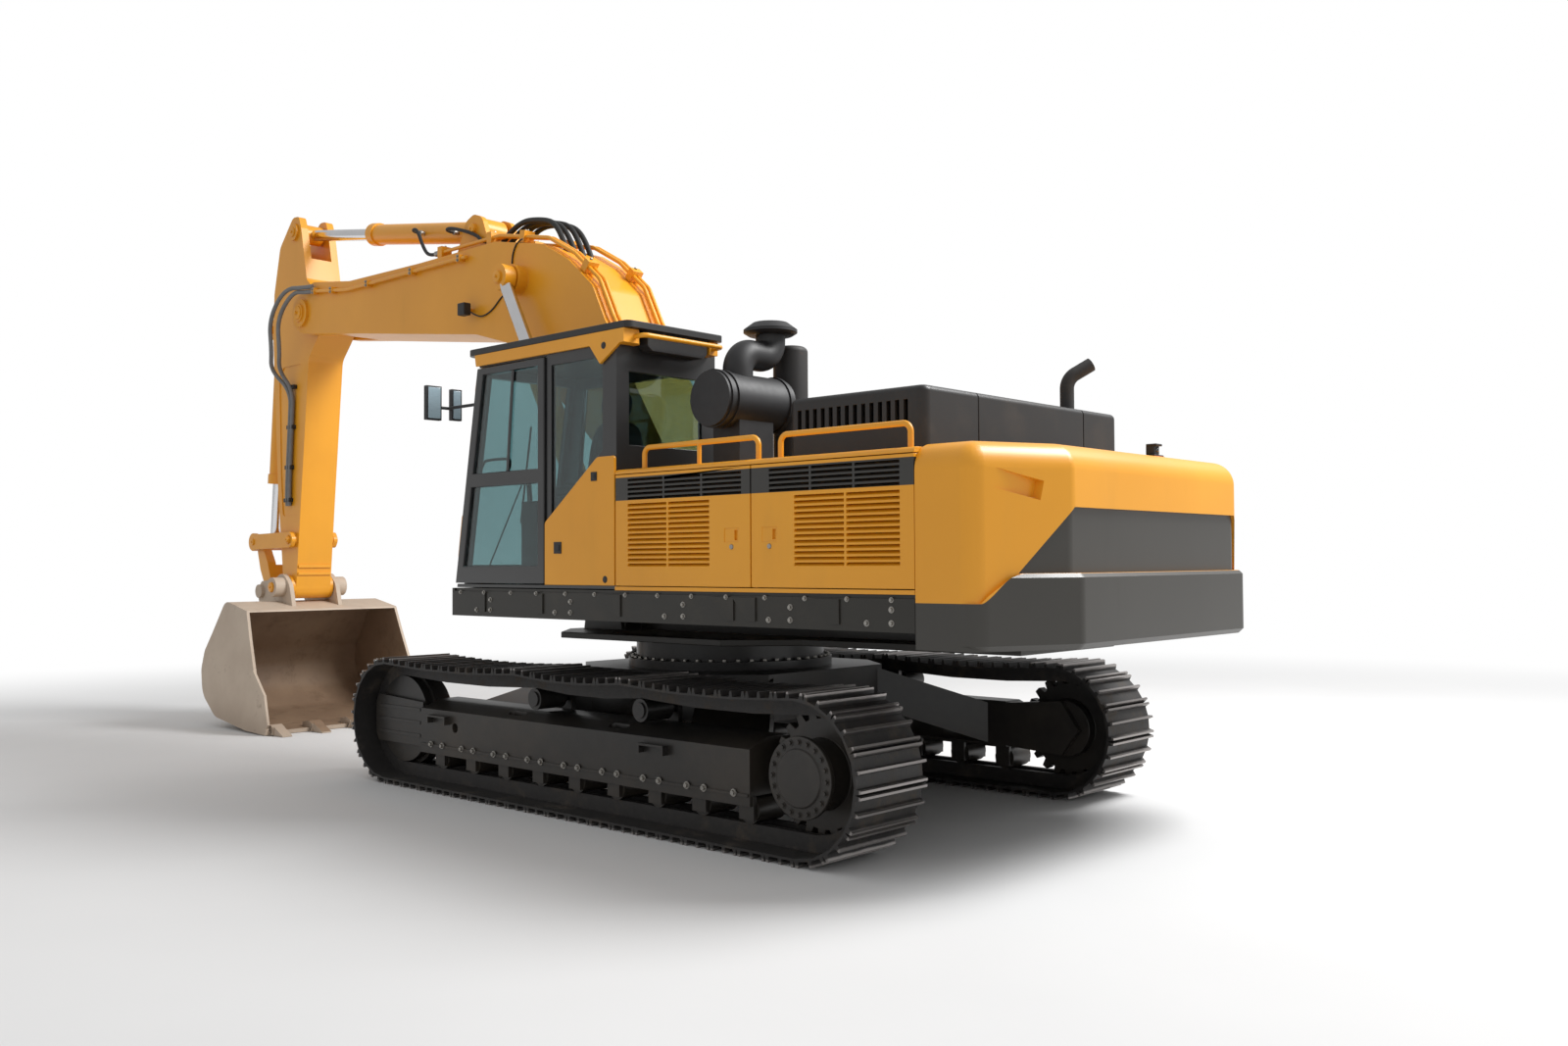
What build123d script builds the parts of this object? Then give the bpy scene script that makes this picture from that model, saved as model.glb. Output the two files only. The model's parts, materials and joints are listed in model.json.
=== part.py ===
from build123d import *
import os
from math import cos, hypot, pi, radians, sin, tan

# A crawler excavator of the 50 tonne class, in millimetres. It is drawn in the machine's own frame:
# X forward, Y to the operator's side, Z up, with the swing axis at X = Y = 0 and the ground at Z = 0.
# Every piece is moved along X by row_shift when it is written, so that the origin lies under the
# middle of the whole machine.

# Undercarriage
gauge = 2763
shoe_width = 600
shoe_thickness = 14
grouser_height = 36
shoe_count = 51
track_height = 980
wheelbase = 4307
sprocket_x = -2154
idler_x = sprocket_x + wheelbase
track_sag = 28
link_height = 100
link_width = 45
link_spread = 165
carrier_roller_x = (460, -660)
bottom_roller_count = 9
bottom_roller_first_x = 1600
bottom_roller_pitch = 405
track_frame_rear_x = -1690
track_frame_front_x = 1830
tie_down_hole = (1370, 480)
tie_down_r = 36

# Upper structure
swing_radius = 715
swing_bottom_z = 1000
swing_top_z = 1150
upper_half_width = 1582
deck_front_x = 1358
deck_rear_x = -2940
deck_bottom_z = 1326
deck_top_z = 1530
counterweight_rear_x = -3560
counterweight_bulge = 50
counterweight_bottom_z = 1240
counterweight_ledge_z = 1640
counterweight_step_z = 1488
counterweight_panel_z = 1990
counterweight_top_z = 2335
lifting_hole_x = -3230
lifting_hole_y = 700
lifting_hole_r = 21
lifting_hole_depth = 90
lifting_insert_width = 130
housing_top_z = 2318
grille_low_z = 1682
stripe_low_z = 2112
stripe_high_z = 2262
louvre_blade = 13
rail_y = 1490
rail_z = 2455
rail_r = 17
hood_front_x = -1630
hood_rear_x = -2680
hood_half_width = 1130
hood_top_z = 2720

# Cab
cab_inner_y = 650
cab_outer_y = 1560
cab_rear_x = -500
cab_bottom_z = 1535
cab_top_z = 3190
cab_front_foot_x = 1330
cab_front_head_x = 1040
cab_wall = 45
door_hinge_x = 245
door_head_z = 3150

# Boom, stick and bucket pivots, as (X, Z)
boom_foot = (200, 1950)
boom_half_width = 330
boom_cylinder_base = (800, 1620)
boom_cylinder_eye = (2240, 4170)
boom_cylinder_y = 500
stick_pivot = (6110, 4400)
stick_half_width = 200
stick_cylinder_base = (3140, 4810)
stick_cylinder_eye = (6530, 5370)
boom_pipe_r = 17
bucket_pin = (6580, 1470)
rocker_pin = (6500, 1985)
rocker_end = (7330, 1970)
bucket_link_pin = (7060, 1420)
bucket_cylinder_base = (7120, 4370)
bucket_half_width = 955
bucket_head_half_width = 863
bucket_wall = 30

# Overall reach of the row: the counterweight's bulge behind and the link's boss in front
machine_rear_x = counterweight_rear_x - counterweight_bulge
rocker_boss_r = 100
machine_front_x = rocker_end[0] + rocker_boss_r
row_shift = -(machine_rear_x + machine_front_x) / 2

track_y = gauge / 2


def side_profile(outline, y_from, y_to, radii=0):
    """Solid between two Y planes from an outline of (X, Z) points."""
    path = FilletPolyline(*[(x, y_from, z) for x, z in outline], radius=radii, close=True)
    return extrude(make_face(path), amount=y_to - y_from, dir=(0, 1, 0))


def plan_profile(outline, z_from, z_to, radii=0):
    """Solid between two Z planes from an outline of (X, Y) points."""
    path = FilletPolyline(*[(x, y, z_from) for x, y in outline], radius=radii, close=True)
    return extrude(make_face(path), amount=z_to - z_from, dir=(0, 0, 1))


def cross_profile(outline, x_from, x_to, radii=0):
    """Solid between two X planes from an outline of (Y, Z) points."""
    path = FilletPolyline(*[(x_from, y, z) for y, z in outline], radius=radii, close=True)
    return extrude(make_face(path), amount=x_to - x_from, dir=(1, 0, 0))


def block(x_from, x_to, y_from, y_to, z_from, z_to):
    """Upright box between three pairs of planes."""
    middle = ((x_from + x_to) / 2, (y_from + y_to) / 2, (z_from + z_to) / 2)
    return Pos(*middle) * Box(abs(x_to - x_from), abs(y_to - y_from), abs(z_to - z_from))


def round_bar(start, end, radius):
    """Cylinder from one point to another."""
    direction = Vector(*end) - Vector(*start)
    plane = Plane(origin=start, z_dir=direction)
    return plane * Cylinder(radius, direction.length, align=(Align.CENTER, Align.CENTER, Align.MIN))


def cross_pin(point, y_from, y_to, radius):
    """Cylinder along Y at an (X, Z) point."""
    return round_bar((point[0], y_from, point[1]), (point[0], y_to, point[1]), radius)


def bent_tube(points, radius, bend):
    """Round tube, solid inside: straight runs joined by arcs of one bend radius."""
    corners = [Vector(*point) for point in points]
    start = corners[0]
    tube = None
    for before, corner, after in zip(corners, corners[1:], corners[2:]):
        arriving = (corner - before).normalized()
        leaving = (after - corner).normalized()
        turn = arriving.get_angle(leaving)
        cut_back = bend * tan(radians(turn) / 2)
        arc_start = corner - arriving * cut_back
        axle = arriving.cross(leaving)
        centre = arc_start + axle.cross(arriving).normalized() * bend
        run = round_bar(start, arc_start, radius)
        tube = run if tube is None else tube + run
        section = Plane(origin=arc_start, z_dir=arriving) * Circle(radius)
        tube += revolve(section, axis=Axis(centre, axle), revolution_arc=turn)
        start = corner + leaving * cut_back
    return tube + round_bar(start, corners[-1], radius)


def on_both_sides(shape):
    """A shape and its mirror image across the machine's middle."""
    return [shape, mirror(shape, about=Plane.XZ)]


def along(start, end, distance, offset=0.0):
    """The (X, Z) point at a distance along a line and an offset to its left."""
    length = hypot(end[0] - start[0], end[1] - start[1])
    ux = (end[0] - start[0]) / length
    uz = (end[1] - start[1]) / length
    return (start[0] + ux * distance - uz * offset, start[1] + uz * distance + ux * offset)


# Tracks

track_axis_z = track_height / 2
track_outer_r = track_height / 2 - grouser_height


def top_run_drop(x):
    """How far the upper run hangs down between the idler, the carrier rollers and the sprocket."""
    supports = [idler_x, *carrier_roller_x, sprocket_x]
    for front, rear in zip(supports, supports[1:]):
        if rear <= x <= front:
            t = (front - x) / (front - rear)
            return 4 * track_sag * t * (1 - t)
    return 0


def track_point(distance, lift):
    """Point (X, Z) at a distance round the shoes' outer face, raised from it by lift."""
    radius = track_outer_r
    arc = pi * radius
    total = 2 * wheelbase + 2 * arc
    distance = distance % total
    if distance < wheelbase:
        x = sprocket_x + distance
        return (x, track_axis_z - radius - lift)
    distance -= wheelbase
    if distance < arc:
        angle = -pi / 2 + distance / radius
        return (idler_x + (radius + lift) * cos(angle), track_axis_z + (radius + lift) * sin(angle))
    distance -= arc
    if distance < wheelbase:
        x = idler_x - distance
        return (x, track_axis_z + radius + lift - top_run_drop(x))
    distance -= wheelbase
    angle = pi / 2 + distance / radius
    return (sprocket_x + (radius + lift) * cos(angle), track_axis_z + (radius + lift) * sin(angle))


def loop_outline(lift, arc_steps=10, span_steps=3):
    """Smooth closed outline parallel to the shoes: two arcs, and the spans between the carrier rollers."""
    arc = pi * track_outer_r
    supports = [idler_x, *carrier_roller_x, sprocket_x]
    stations = [wheelbase + arc * i / arc_steps for i in range(arc_steps + 1)]
    for front, rear in zip(supports, supports[1:]):
        stations += [wheelbase + arc + idler_x - front + (front - rear) * i / span_steps
                     for i in range(1, span_steps + 1)]
    stations += [2 * wheelbase + arc + arc * i / arc_steps for i in range(1, arc_steps + 1)]
    return [track_point(station, lift) for station in stations]


def track_loop():
    """One closed track: 51 triple-grouser shoes on two rails of links, centred on Y = 0."""
    shoe_pitch = (2 * wheelbase + 2 * pi * track_outer_r) / shoe_count
    # Each shoe as (share of the pitch, height above the plate): a gap, then three trapezoid lugs
    shoe_form = [
        (0.00, -6), (0.03, grouser_height), (0.09, grouser_height), (0.13, 0),
        (0.41, 0), (0.44, grouser_height), (0.50, grouser_height), (0.54, 0),
        (0.84, 0), (0.88, grouser_height), (0.94, grouser_height),
    ]
    outline = []
    for shoe in range(shoe_count):
        for share, height in shoe_form:
            outline.append(track_point((shoe + share) * shoe_pitch, height))
    half = shoe_width / 2
    inside = side_profile(loop_outline(-shoe_thickness), -half, half)
    shoes = side_profile(outline, -half, half) - inside
    rail_outer = side_profile(loop_outline(-shoe_thickness), -link_width / 2, link_width / 2)
    rail_inner = side_profile(loop_outline(-shoe_thickness - link_height), -half, half)
    rail = rail_outer - rail_inner
    rails = [Pos(0, side * link_spread / 2, 0) * rail for side in (-1, 1)]
    return shoes + rails[0] + rails[1]


rail_face_z = grouser_height + shoe_thickness + link_height
bottom_roller_r = 82
bottom_roller_z = rail_face_z + bottom_roller_r + 0.5
frame_floor_z = 320


def bottom_rollers():
    """Nine track rollers under each side frame, each with the collars that hold its axle."""
    rollers = []
    for side in (-1, 1):
        for i in range(bottom_roller_count):
            spot = (bottom_roller_first_x - i * bottom_roller_pitch, bottom_roller_z)
            y = side * track_y
            rollers.append(cross_pin(spot, y - 118, y + 118, bottom_roller_r))
    return rollers


def carrier_rollers():
    """Two small rollers under each upper run, each on a bracket from the side frame."""
    rollers = []
    rail_under_top_z = track_height - grouser_height - shoe_thickness - link_height
    radius = 75
    for side in (-1, 1):
        y = side * track_y
        for x in carrier_roller_x:
            spot = (x, rail_under_top_z - radius - 2)
            wheel = cross_pin(spot, y - 110, y + 118, radius) + cross_pin(spot, y - 124, y + 130, radius - 24)
            axle = cross_pin(spot, y - 168, y - 110, 34) if side > 0 else cross_pin(spot, y + 110, y + 168, 34)
            rollers.append(wheel + axle)
    return rollers


def track_frame():
    """Left side frame: a long box with a sloped top, roller collars, idler fork and guards."""
    inner = track_y - 168
    outer = track_y + 168
    section = [(inner, frame_floor_z), (outer, frame_floor_z), (outer, 600), (outer - 150, 660), (inner, 660)]
    body = cross_profile(section, track_frame_rear_x, track_frame_front_x)
    body -= cross_pin((idler_x, track_axis_z), track_y - 118, track_y + 118, 372)
    body -= cross_pin(tie_down_hole, outer - 60, outer + 5, tie_down_r)
    skirt = block(track_frame_rear_x, track_frame_front_x, outer - 22, outer, 262, frame_floor_z)
    for i in range(bottom_roller_count):
        x = bottom_roller_first_x - i * bottom_roller_pitch
        body += block(x - 60, x + 60, track_y + 120, track_y + 146, bottom_roller_z - 55, frame_floor_z)
        body += block(x - 60, x + 60, track_y - 146, track_y - 120, bottom_roller_z - 55, frame_floor_z)
    # Fork that holds the idler and the flat guard outside it
    guard_outline = [(track_frame_front_x, 300), (2470, 300), (2510, 360), (2510, 610), (2470, 670),
                     (track_frame_front_x, 640)]
    outer_guard = side_profile(guard_outline, track_y + 118, track_y + 150)
    inner_guard = side_profile(guard_outline, track_y - 150, track_y - 118)
    # Plates that carry the final drive at the rear
    drive_outline = [(track_frame_rear_x, 330), (track_frame_rear_x, 650), (sprocket_x, 690), (sprocket_x - 140, 490),
                     (sprocket_x, 300)]
    drive_plate = side_profile(drive_outline, track_y - 168, track_y - 120)
    frame = body + skirt + outer_guard + inner_guard + drive_plate
    # Ledge along the foot, footsteps on the outer plate, ribs on the guard, slots in the sloped plate
    frame += block(track_frame_rear_x + 10, track_frame_front_x - 10, outer, outer + 10, 318, 336)
    for x in (1560, -860):
        frame += block(x - 120, x + 120, outer, outer + 48, 548, 562) + block(x - 120, x - 104, outer, outer + 48, 500, 548)
        frame += block(x + 104, x + 120, outer, outer + 48, 500, 548)
    for z in (380, 480, 580):
        frame += block(track_frame_front_x + 30, 2450, track_y + 150, track_y + 158, z - 12, z + 12)
    for x in (700, -420):
        slot = [(x - 90, outer - 108), (x + 90, outer - 108), (x + 90, outer - 52), (x - 90, outer - 52)]
        frame -= plan_profile(slot, 600, 700, 27)
    # Brackets from the side frame up to the carrier rollers
    for x in carrier_roller_x:
        frame += block(x - 55, x + 55, track_y - 205, track_y - 168, 600, 840)
    return frame


def final_drive():
    """Left final drive: hub drum with its cover outside, and the toothed sprocket between the rails."""
    hub = cross_pin((sprocket_x, track_axis_z), track_y - 120, track_y + 215, 205)
    cover = cross_pin((sprocket_x, track_axis_z), track_y + 215, track_y + 250, 236)
    cover += cross_pin((sprocket_x, track_axis_z), track_y + 250, track_y + 262, 165)
    tooth_count = 22
    root_r = 322
    tip_r = 378
    outline = []
    for i in range(tooth_count):
        for share, radius in ((0.0, root_r), (0.30, root_r), (0.45, tip_r), (0.85, tip_r)):
            angle = 2 * pi * (i + share) / tooth_count
            outline.append((sprocket_x + radius * cos(angle), track_axis_z + radius * sin(angle)))
    sprocket = side_profile(outline, track_y - 42, track_y + 42)
    return hub + cover + sprocket


def idler():
    """Left idler: a plain wheel with a raised middle rim between the rails."""
    centre = (idler_x, track_axis_z)
    tread_r = (track_outer_r - shoe_thickness - link_height) * cos(pi / 20) - 1
    wheel = cross_pin(centre, track_y - 112, track_y + 112, tread_r)
    rim = cross_pin(centre, track_y - 45, track_y + 45, tread_r + 28)
    return wheel + rim


def car_body():
    """Centre section: an eight-sided box with the seat of the swing bearing on top."""
    centre = plan_profile([(980, -620), (980, 620), (620, 900), (-620, 900), (-980, 620), (-980, -620), (-620, -900),
                           (620, -900)], 620, swing_bottom_z - 60)
    return centre + Pos(0, 0, swing_bottom_z - 30) * Cylinder(swing_radius + 60, 60)


def car_body_legs(centre):
    """Four legs that fall and spread from the centre section to the side frames."""
    inner = track_y - 170
    legs = []
    for fore in (-1, 1):
        for side in (-1, 1):
            low = Plane.XZ.offset(-side * inner) * Pos(fore * 1180, 490) * Rectangle(700, 300)
            high = Plane.XZ.offset(-side * 560) * Pos(fore * 620, 770) * Rectangle(700, 300)
            legs.append(loft([low.faces()[0], high.faces()[0]]) - centre)
    return legs


def swing_bearing():
    """Bearing ring between the car body and the revolving frame."""
    ring = Cylinder(swing_radius, swing_top_z - swing_bottom_z) - Cylinder(560, 400)
    return Pos(0, 0, (swing_bottom_z + swing_top_z) / 2) * ring


# Upper structure

boom_web_inner = 372
boom_web_outer = 412


def revolving_frame():
    """Base plate on the bearing, two long webs with the boom's brackets, and the rear beams."""
    floor = plan_profile([(1150, -640), (1150, 640), (800, 1000), (-900, 1000), (-1300, 640), (deck_rear_x, 560),
                          (deck_rear_x, -560), (-1300, -640), (-900, -1000), (800, -1000)], swing_top_z, 1195)
    web_outline = [(1100, 1195), (1100, 1420), (940, 1500), (640, 1640), (370, 2080), (200, 2150), (20, 2080),
                   (-420, 1620), (deck_rear_x, 1500), (deck_rear_x, 1195)]
    radii = [0, 0, 60, 60, 150, 150, 150, 0, 0, 0]
    frame = floor
    for web in on_both_sides(side_profile(web_outline, boom_web_inner, boom_web_outer, radii)):
        frame += web
    lug_outline = [(560, 1195), (640, 1560), (700, 1745), (900, 1745), (960, 1560), (1020, 1195)]
    lug_radii = [0, 0, 90, 90, 0, 0]
    for lug in on_both_sides(side_profile(lug_outline, 572, 604, lug_radii)):
        frame += lug
    for tie in on_both_sides(block(560, 1020, boom_web_outer, 572, 1195, 1400)):
        frame += tie
    frame += block(-430, -390, -boom_web_inner, boom_web_inner, 1195, 1600)
    for pin in on_both_sides(cross_pin(boom_foot, boom_web_inner - 32, boom_web_outer + 30, 70)):
        frame += pin
    for pin in on_both_sides(cross_pin(boom_cylinder_base, boom_web_outer, 630, 52)):
        frame += pin
    return frame


def deck(side):
    """Side deck: a channel beam along the edge, floor plate and cross beams, with walkway brackets."""
    half = upper_half_width
    floor = block(deck_rear_x + 4, deck_front_x, 640, half - 12, deck_top_z - 22, deck_top_z)
    beam = block(deck_rear_x + 4, deck_front_x, half - 142, half, deck_bottom_z, deck_top_z - 22)
    channel = block(deck_rear_x, deck_front_x - 20, half - 160, half - 24, deck_bottom_z + 22, deck_top_z - 44)
    result = floor + (beam - channel)
    for x in (1250, 300, -700, -1700, -2800):
        result += block(x - 40, x + 40, 640, half - 120, deck_bottom_z + 40, deck_top_z - 22)
    result += block(deck_front_x - 30, deck_front_x, 640, half, deck_bottom_z, deck_top_z)
    for x in (930, 250, -570, -1600, -1780, -2420):
        bracket = side_profile([(x + 190, deck_top_z - 30), (x, deck_top_z - 30), (x, deck_bottom_z + 34),
                                (x + 60, deck_bottom_z + 34)], half, half + 10)
        result += bracket
    return result if side > 0 else mirror(result, about=Plane.XZ)


def counterweight():
    """Cast weight across the rear: a bulging lower band, a sunk panel and a scoop in each corner."""
    rear = counterweight_rear_x
    half = upper_half_width
    low, ledge, top = counterweight_bottom_z, counterweight_ledge_z, counterweight_top_z

    def outline(grow):
        return [(deck_rear_x, -half), (corner_x - grow / 2, -half), (rear - grow, -corner_y), (rear - grow, corner_y),
                (corner_x - grow / 2, half), (deck_rear_x, half)]

    corner_x = -3300
    corner_y = 1010
    radii = [0, 130, 110, 110, 130, 0]
    weight = plan_profile(outline(0), low, top, radii)
    weight = fillet(weight.edges().group_by(Axis.Z)[-1].group_by(Axis.X)[0], 150)
    # The lower band steps down on each side, ahead of the corner
    band = plan_profile(outline(counterweight_bulge), low, ledge, radii)
    band = chamfer(band.edges().group_by(Axis.Z)[-1].group_by(Axis.X)[:4], 22)
    band = chamfer(band.edges().group_by(Axis.Z)[0].group_by(Axis.X)[:4], 30)
    band &= side_profile([(deck_rear_x, low), (rear - 80, low), (rear - 80, ledge), (-3430, ledge),
                          (-3330, counterweight_step_z), (deck_rear_x, counterweight_step_z)], -half, half)
    # The sunk panel ends in a slanted edge on each corner
    panel_ring = plan_profile(outline(20), ledge, counterweight_panel_z, radii) \
        - plan_profile(outline(-22), ledge, counterweight_panel_z, radii)
    panel_ring &= cross_profile([(-1330, ledge), (1330, ledge), (1000, counterweight_panel_z),
                                 (-1000, counterweight_panel_z)], rear - 60, -3200)
    weight = weight - panel_ring + band
    for side in (-1, 1):
        weight -= lifting_block(side)
    for scoop in on_both_sides(corner_scoop()):
        weight -= scoop
    return weight


def corner_scoop():
    """Wedge-shaped hollow in the left corner's upper part, deepest towards the rear."""
    corner = Plane(origin=(-3425, 1350, 2110), x_dir=(-0.40, -0.90, -0.22), z_dir=(-0.91, 0.41, 0))
    depth_profile = Polyline((-260, 4), (150, -66), (205, 60), (-260, 60), close=True)
    wedge = extrude(make_face(Plane.XZ * depth_profile), amount=52, both=True)
    return corner * wedge


def lifting_block(side):
    """Square steel block cast into the weight's top on one side, before its hole is bored."""
    centre = (lifting_hole_x, side * lifting_hole_y, counterweight_top_z - lifting_hole_depth / 2)
    return Pos(*centre) * Box(lifting_insert_width, lifting_insert_width, lifting_hole_depth)


def lifting_inserts():
    """The two cast-in steel blocks with the holes for the lifting eyes."""
    inserts = []
    for side in (-1, 1):
        hole = Pos(lifting_hole_x, side * lifting_hole_y, counterweight_top_z) * Cylinder(lifting_hole_r, 400)
        inserts.append(lifting_block(side) - hole)
    return inserts


def left_housing():
    """Fixed yellow sheet round the radiator room: top, end walls, sill and the post between the doors."""
    top_z = housing_top_z
    half = upper_half_width
    section = [(760, deck_top_z), (760, top_z), (half, top_z), (half, deck_top_z)]
    shell = cross_profile(section, deck_rear_x + 4, cab_rear_x - 8, [0, 0, 40, 0])
    room = block(deck_rear_x + 44, cab_rear_x - 48, 790, half + 10, deck_top_z - 5, top_z - 32)
    door_room = block(deck_rear_x - 5, cab_rear_x + 5, half - 46, half + 10, deck_top_z - 5, top_z - 32)
    sill = block(deck_rear_x + 4, cab_rear_x - 8, half - 120, half, deck_top_z, 1554)
    post = block(-1754, -1724, 1450, half - 47, 1554, top_z - 32)
    return shell - room - door_room + sill + post


def louvres(x_front, x_rear, y_out, z_low, z_high, count):
    """Slanted slots between the blades of one louvred window."""
    pitch = (z_high - z_low) / count
    slots = []
    for i in range(count):
        z = z_low + i * pitch
        slant = [(y_out + 2, z), (y_out + 2, z + pitch - louvre_blade), (y_out - 46, z + 2 * pitch - louvre_blade),
                 (y_out - 46, z + pitch)]
        slots.append(cross_profile(slant, x_rear, x_front))
    return slots


def side_door(x_front, x_rear, grille_front, grille_rear, stripe_front, stripe_rear, handle_x):
    """Side door of the left housing: sheet with a louvred window, louvred stripe and sunk handle."""
    gap = 5
    y_out = upper_half_width
    door = block(x_rear + gap, x_front - gap, y_out - 40, y_out, 1560, housing_top_z - 38)
    room = block(x_rear + 30, x_front - 30, y_out - 50, y_out - 6, 1590, housing_top_z - 66)
    backing = block(stripe_rear - 24, stripe_front + 24, y_out - 40, y_out, grille_low_z - 24, stripe_high_z + 12)
    door = door - (room - backing)
    middle = (grille_front + grille_rear) / 2
    for front, rear in ((grille_front, middle + 8), (middle - 8, grille_rear)):
        door -= louvres(front, rear, y_out, grille_low_z, stripe_low_z - 12, 13)
    third = (stripe_front - stripe_rear) / 3
    for i in range(3):
        front = stripe_front - i * third - (8 if i else 0)
        rear = stripe_front - (i + 1) * third + (0 if i == 2 else 8)
        door -= louvres(front, rear, y_out, stripe_low_z, stripe_high_z, 5)
    door -= block(handle_x - 62, handle_x + 62, y_out - 4, y_out + 5, 1828, 1912)
    door += block(handle_x - 62, handle_x + 62, y_out - 26, y_out - 4, 1828, 1912)
    door -= block(handle_x - 46, handle_x - 20, y_out - 20, y_out + 5, 1840, 1900)
    return door


def right_housing():
    """Pump room on the right deck, with an open side for its door."""
    half = upper_half_width
    shell = block(deck_rear_x + 4, -1250, -half, -760, deck_top_z, housing_top_z)
    room = block(deck_rear_x + 44, -1290, -half - 10, -790, deck_top_z - 5, housing_top_z - 32)
    door_room = block(deck_rear_x - 5, -1240, -half - 10, -half + 46, deck_top_z - 5, housing_top_z - 32)
    sill = block(deck_rear_x + 4, -1250, -half, -half + 120, deck_top_z, 1554)
    return shell - room - door_room + sill


def centre_cover():
    """Sheet behind the boom's foot: a front wall and the walkway plate in front of the hood."""
    plate = block(hood_front_x + 2, -512, -694, 754, 2270, housing_top_z)
    wall = block(-542, -512, -360, 360, 1640, 2270)
    ribs = block(hood_front_x + 2, -512, -694, -664, 1560, 2270) + block(hood_front_x + 2, -512, 724, 754, 1560, 2270)
    return plate + wall + ribs - round_bar((-1060, 470, 2200), (-1060, 470, 2400), 125)


def hood_shell():
    """Whole raised engine hood with rounded edges and a row of upright slots on each side."""
    outer = block(hood_rear_x, hood_front_x, -hood_half_width, hood_half_width, housing_top_z, hood_top_z)
    outer = fillet(outer.edges().filter_by(Axis.Z), 60)
    outer = fillet(outer.edges().group_by(Axis.Z)[-1], 38)
    inner = block(hood_rear_x + 28, hood_front_x - 28, -hood_half_width + 28, hood_half_width - 28, 2300,
                  hood_top_z - 28)
    slots = []
    for i in range(14):
        x = -1712 - i * 63
        slots.append(block(x - 30, x, hood_half_width - 60, hood_half_width + 5, 2500, 2640))
    sides = [mirror(slot, about=Plane.XZ) for slot in slots]
    return outer - inner - slots - sides


def hood():
    """Fixed parts of the raised engine hood, on both sides of its lid."""
    lid_space = block(hood_rear_x - 10, hood_front_x - 60, -665, 590, 2400, hood_top_z + 10)
    return hood_shell() - lid_space


def hood_lid():
    """Middle lid of the engine hood with its rear face, hinged at its front edge."""
    return hood_shell() & block(hood_rear_x - 10, hood_front_x - 68, -657, 582, 2408, hood_top_z + 10)


# Boom and stick

def pivot_hole(point, reach, radius):
    """Bore cutter along Y."""
    return cross_pin(point, -reach, reach, radius)


def boom():
    """Box boom with a bent back, foot boss, nose fork, cylinder bosses and a work light."""
    foot_x, foot_z = boom_foot
    outline = [
        (foot_x - 150, foot_z + 150), (1100, 3700), (1250, 3990), (1560, 4250), (1910, 4440), (2600, 4575),
        (3830, 4575), (5120, 4600), (5860, 4700), (6290, 4560), (6330, 4300), (6110, 4180), (5290, 4085),
        (4310, 3960), (2890, 3780), (2350, 3630), (1400, 2860), (foot_x + 150, foot_z - 150),
    ]
    radii = [120, 200, 200, 200, 300, 300, 400, 400, 150, 120, 120, 400, 400, 400, 400, 500, 500, 120]
    body = side_profile(outline, -boom_half_width, boom_half_width, radii)
    body += cross_pin(boom_foot, -boom_half_width - 35, boom_half_width + 35, 190)
    body += cross_pin(boom_cylinder_eye, -430, 430, 130)
    body += cross_pin(stick_pivot, -boom_half_width - 30, boom_half_width + 30, 150)
    body -= block(5480, 6500, -boom_fork_inner, boom_fork_inner, 3900, 5000)
    body -= pivot_hole(boom_foot, 500, 72)
    ear_outline = [(2860, 4540), (3010, 4900), (3140, 4950), (3270, 4900), (3450, 4540)]
    for ear in on_both_sides(side_profile(ear_outline, 135, 185, [0, 100, 100, 100, 0])):
        body += ear
    body += cross_pin(stick_pivot, -boom_fork_inner, boom_fork_inner, 60)
    body += cross_pin(stick_pivot, boom_half_width + 30, boom_half_width + 48, 95)
    body += cross_pin(stick_pivot, -boom_half_width - 48, -boom_half_width - 30, 95)
    body += cross_pin(stick_cylinder_base, -210, 210, 50)
    # Square work light on the left side
    arm = block(2930, 2960, boom_half_width, boom_half_width + 60, 3985, 4015)
    lamp = block(2890, 2990, boom_half_width + 60, boom_half_width + 130, 3950, 4050)
    return body + arm + lamp


def boom_pipes(boom_body):
    """Steel pipes along the boom's back and sides, seated on it in clamp blocks."""
    back_clamps = [(905, 3488, 56.9), (1385, 4177, 39.6), (2250, 4571, 11.1), (2740, 4641, 0), (3530, 4641, 0)]
    side_clamps = [(3100, 4499), (3900, 4501), (4700, 4504), (5400, 4540), (5770, 4584)]
    groups = []
    for side in (-1, 1):
        back = None
        for y, end_x in ((215, 2790), (270, 3580)):
            route = [(753, 3255), (1058, 3722), (1225, 4045), (1545, 4310), (1900, 4502), (2600, 4640), (end_x, 4641)]
            pipe = bent_tube([(x, side * y, z) for x, z in route], boom_pipe_r, 150)
            back = pipe if back is None else back + pipe
        for x, z, slope in back_clamps:
            back += Pos(x, side * 243, z) * Rot(0, -slope, 0) * Box(70, 110, 104)
        y = side * (boom_half_width + 34)
        along_side = bent_tube([(3000, y, 4498), (5100, y, 4505), (5820, y, 4590)], boom_pipe_r, 150)
        for x, z in side_clamps:
            along_side += Pos(x, side * (boom_half_width + 28), z) * Box(60, 60, 64)
        groups += [back - boom_body, along_side - boom_body]
    return groups


boom_fork_inner = stick_half_width + 14


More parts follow.
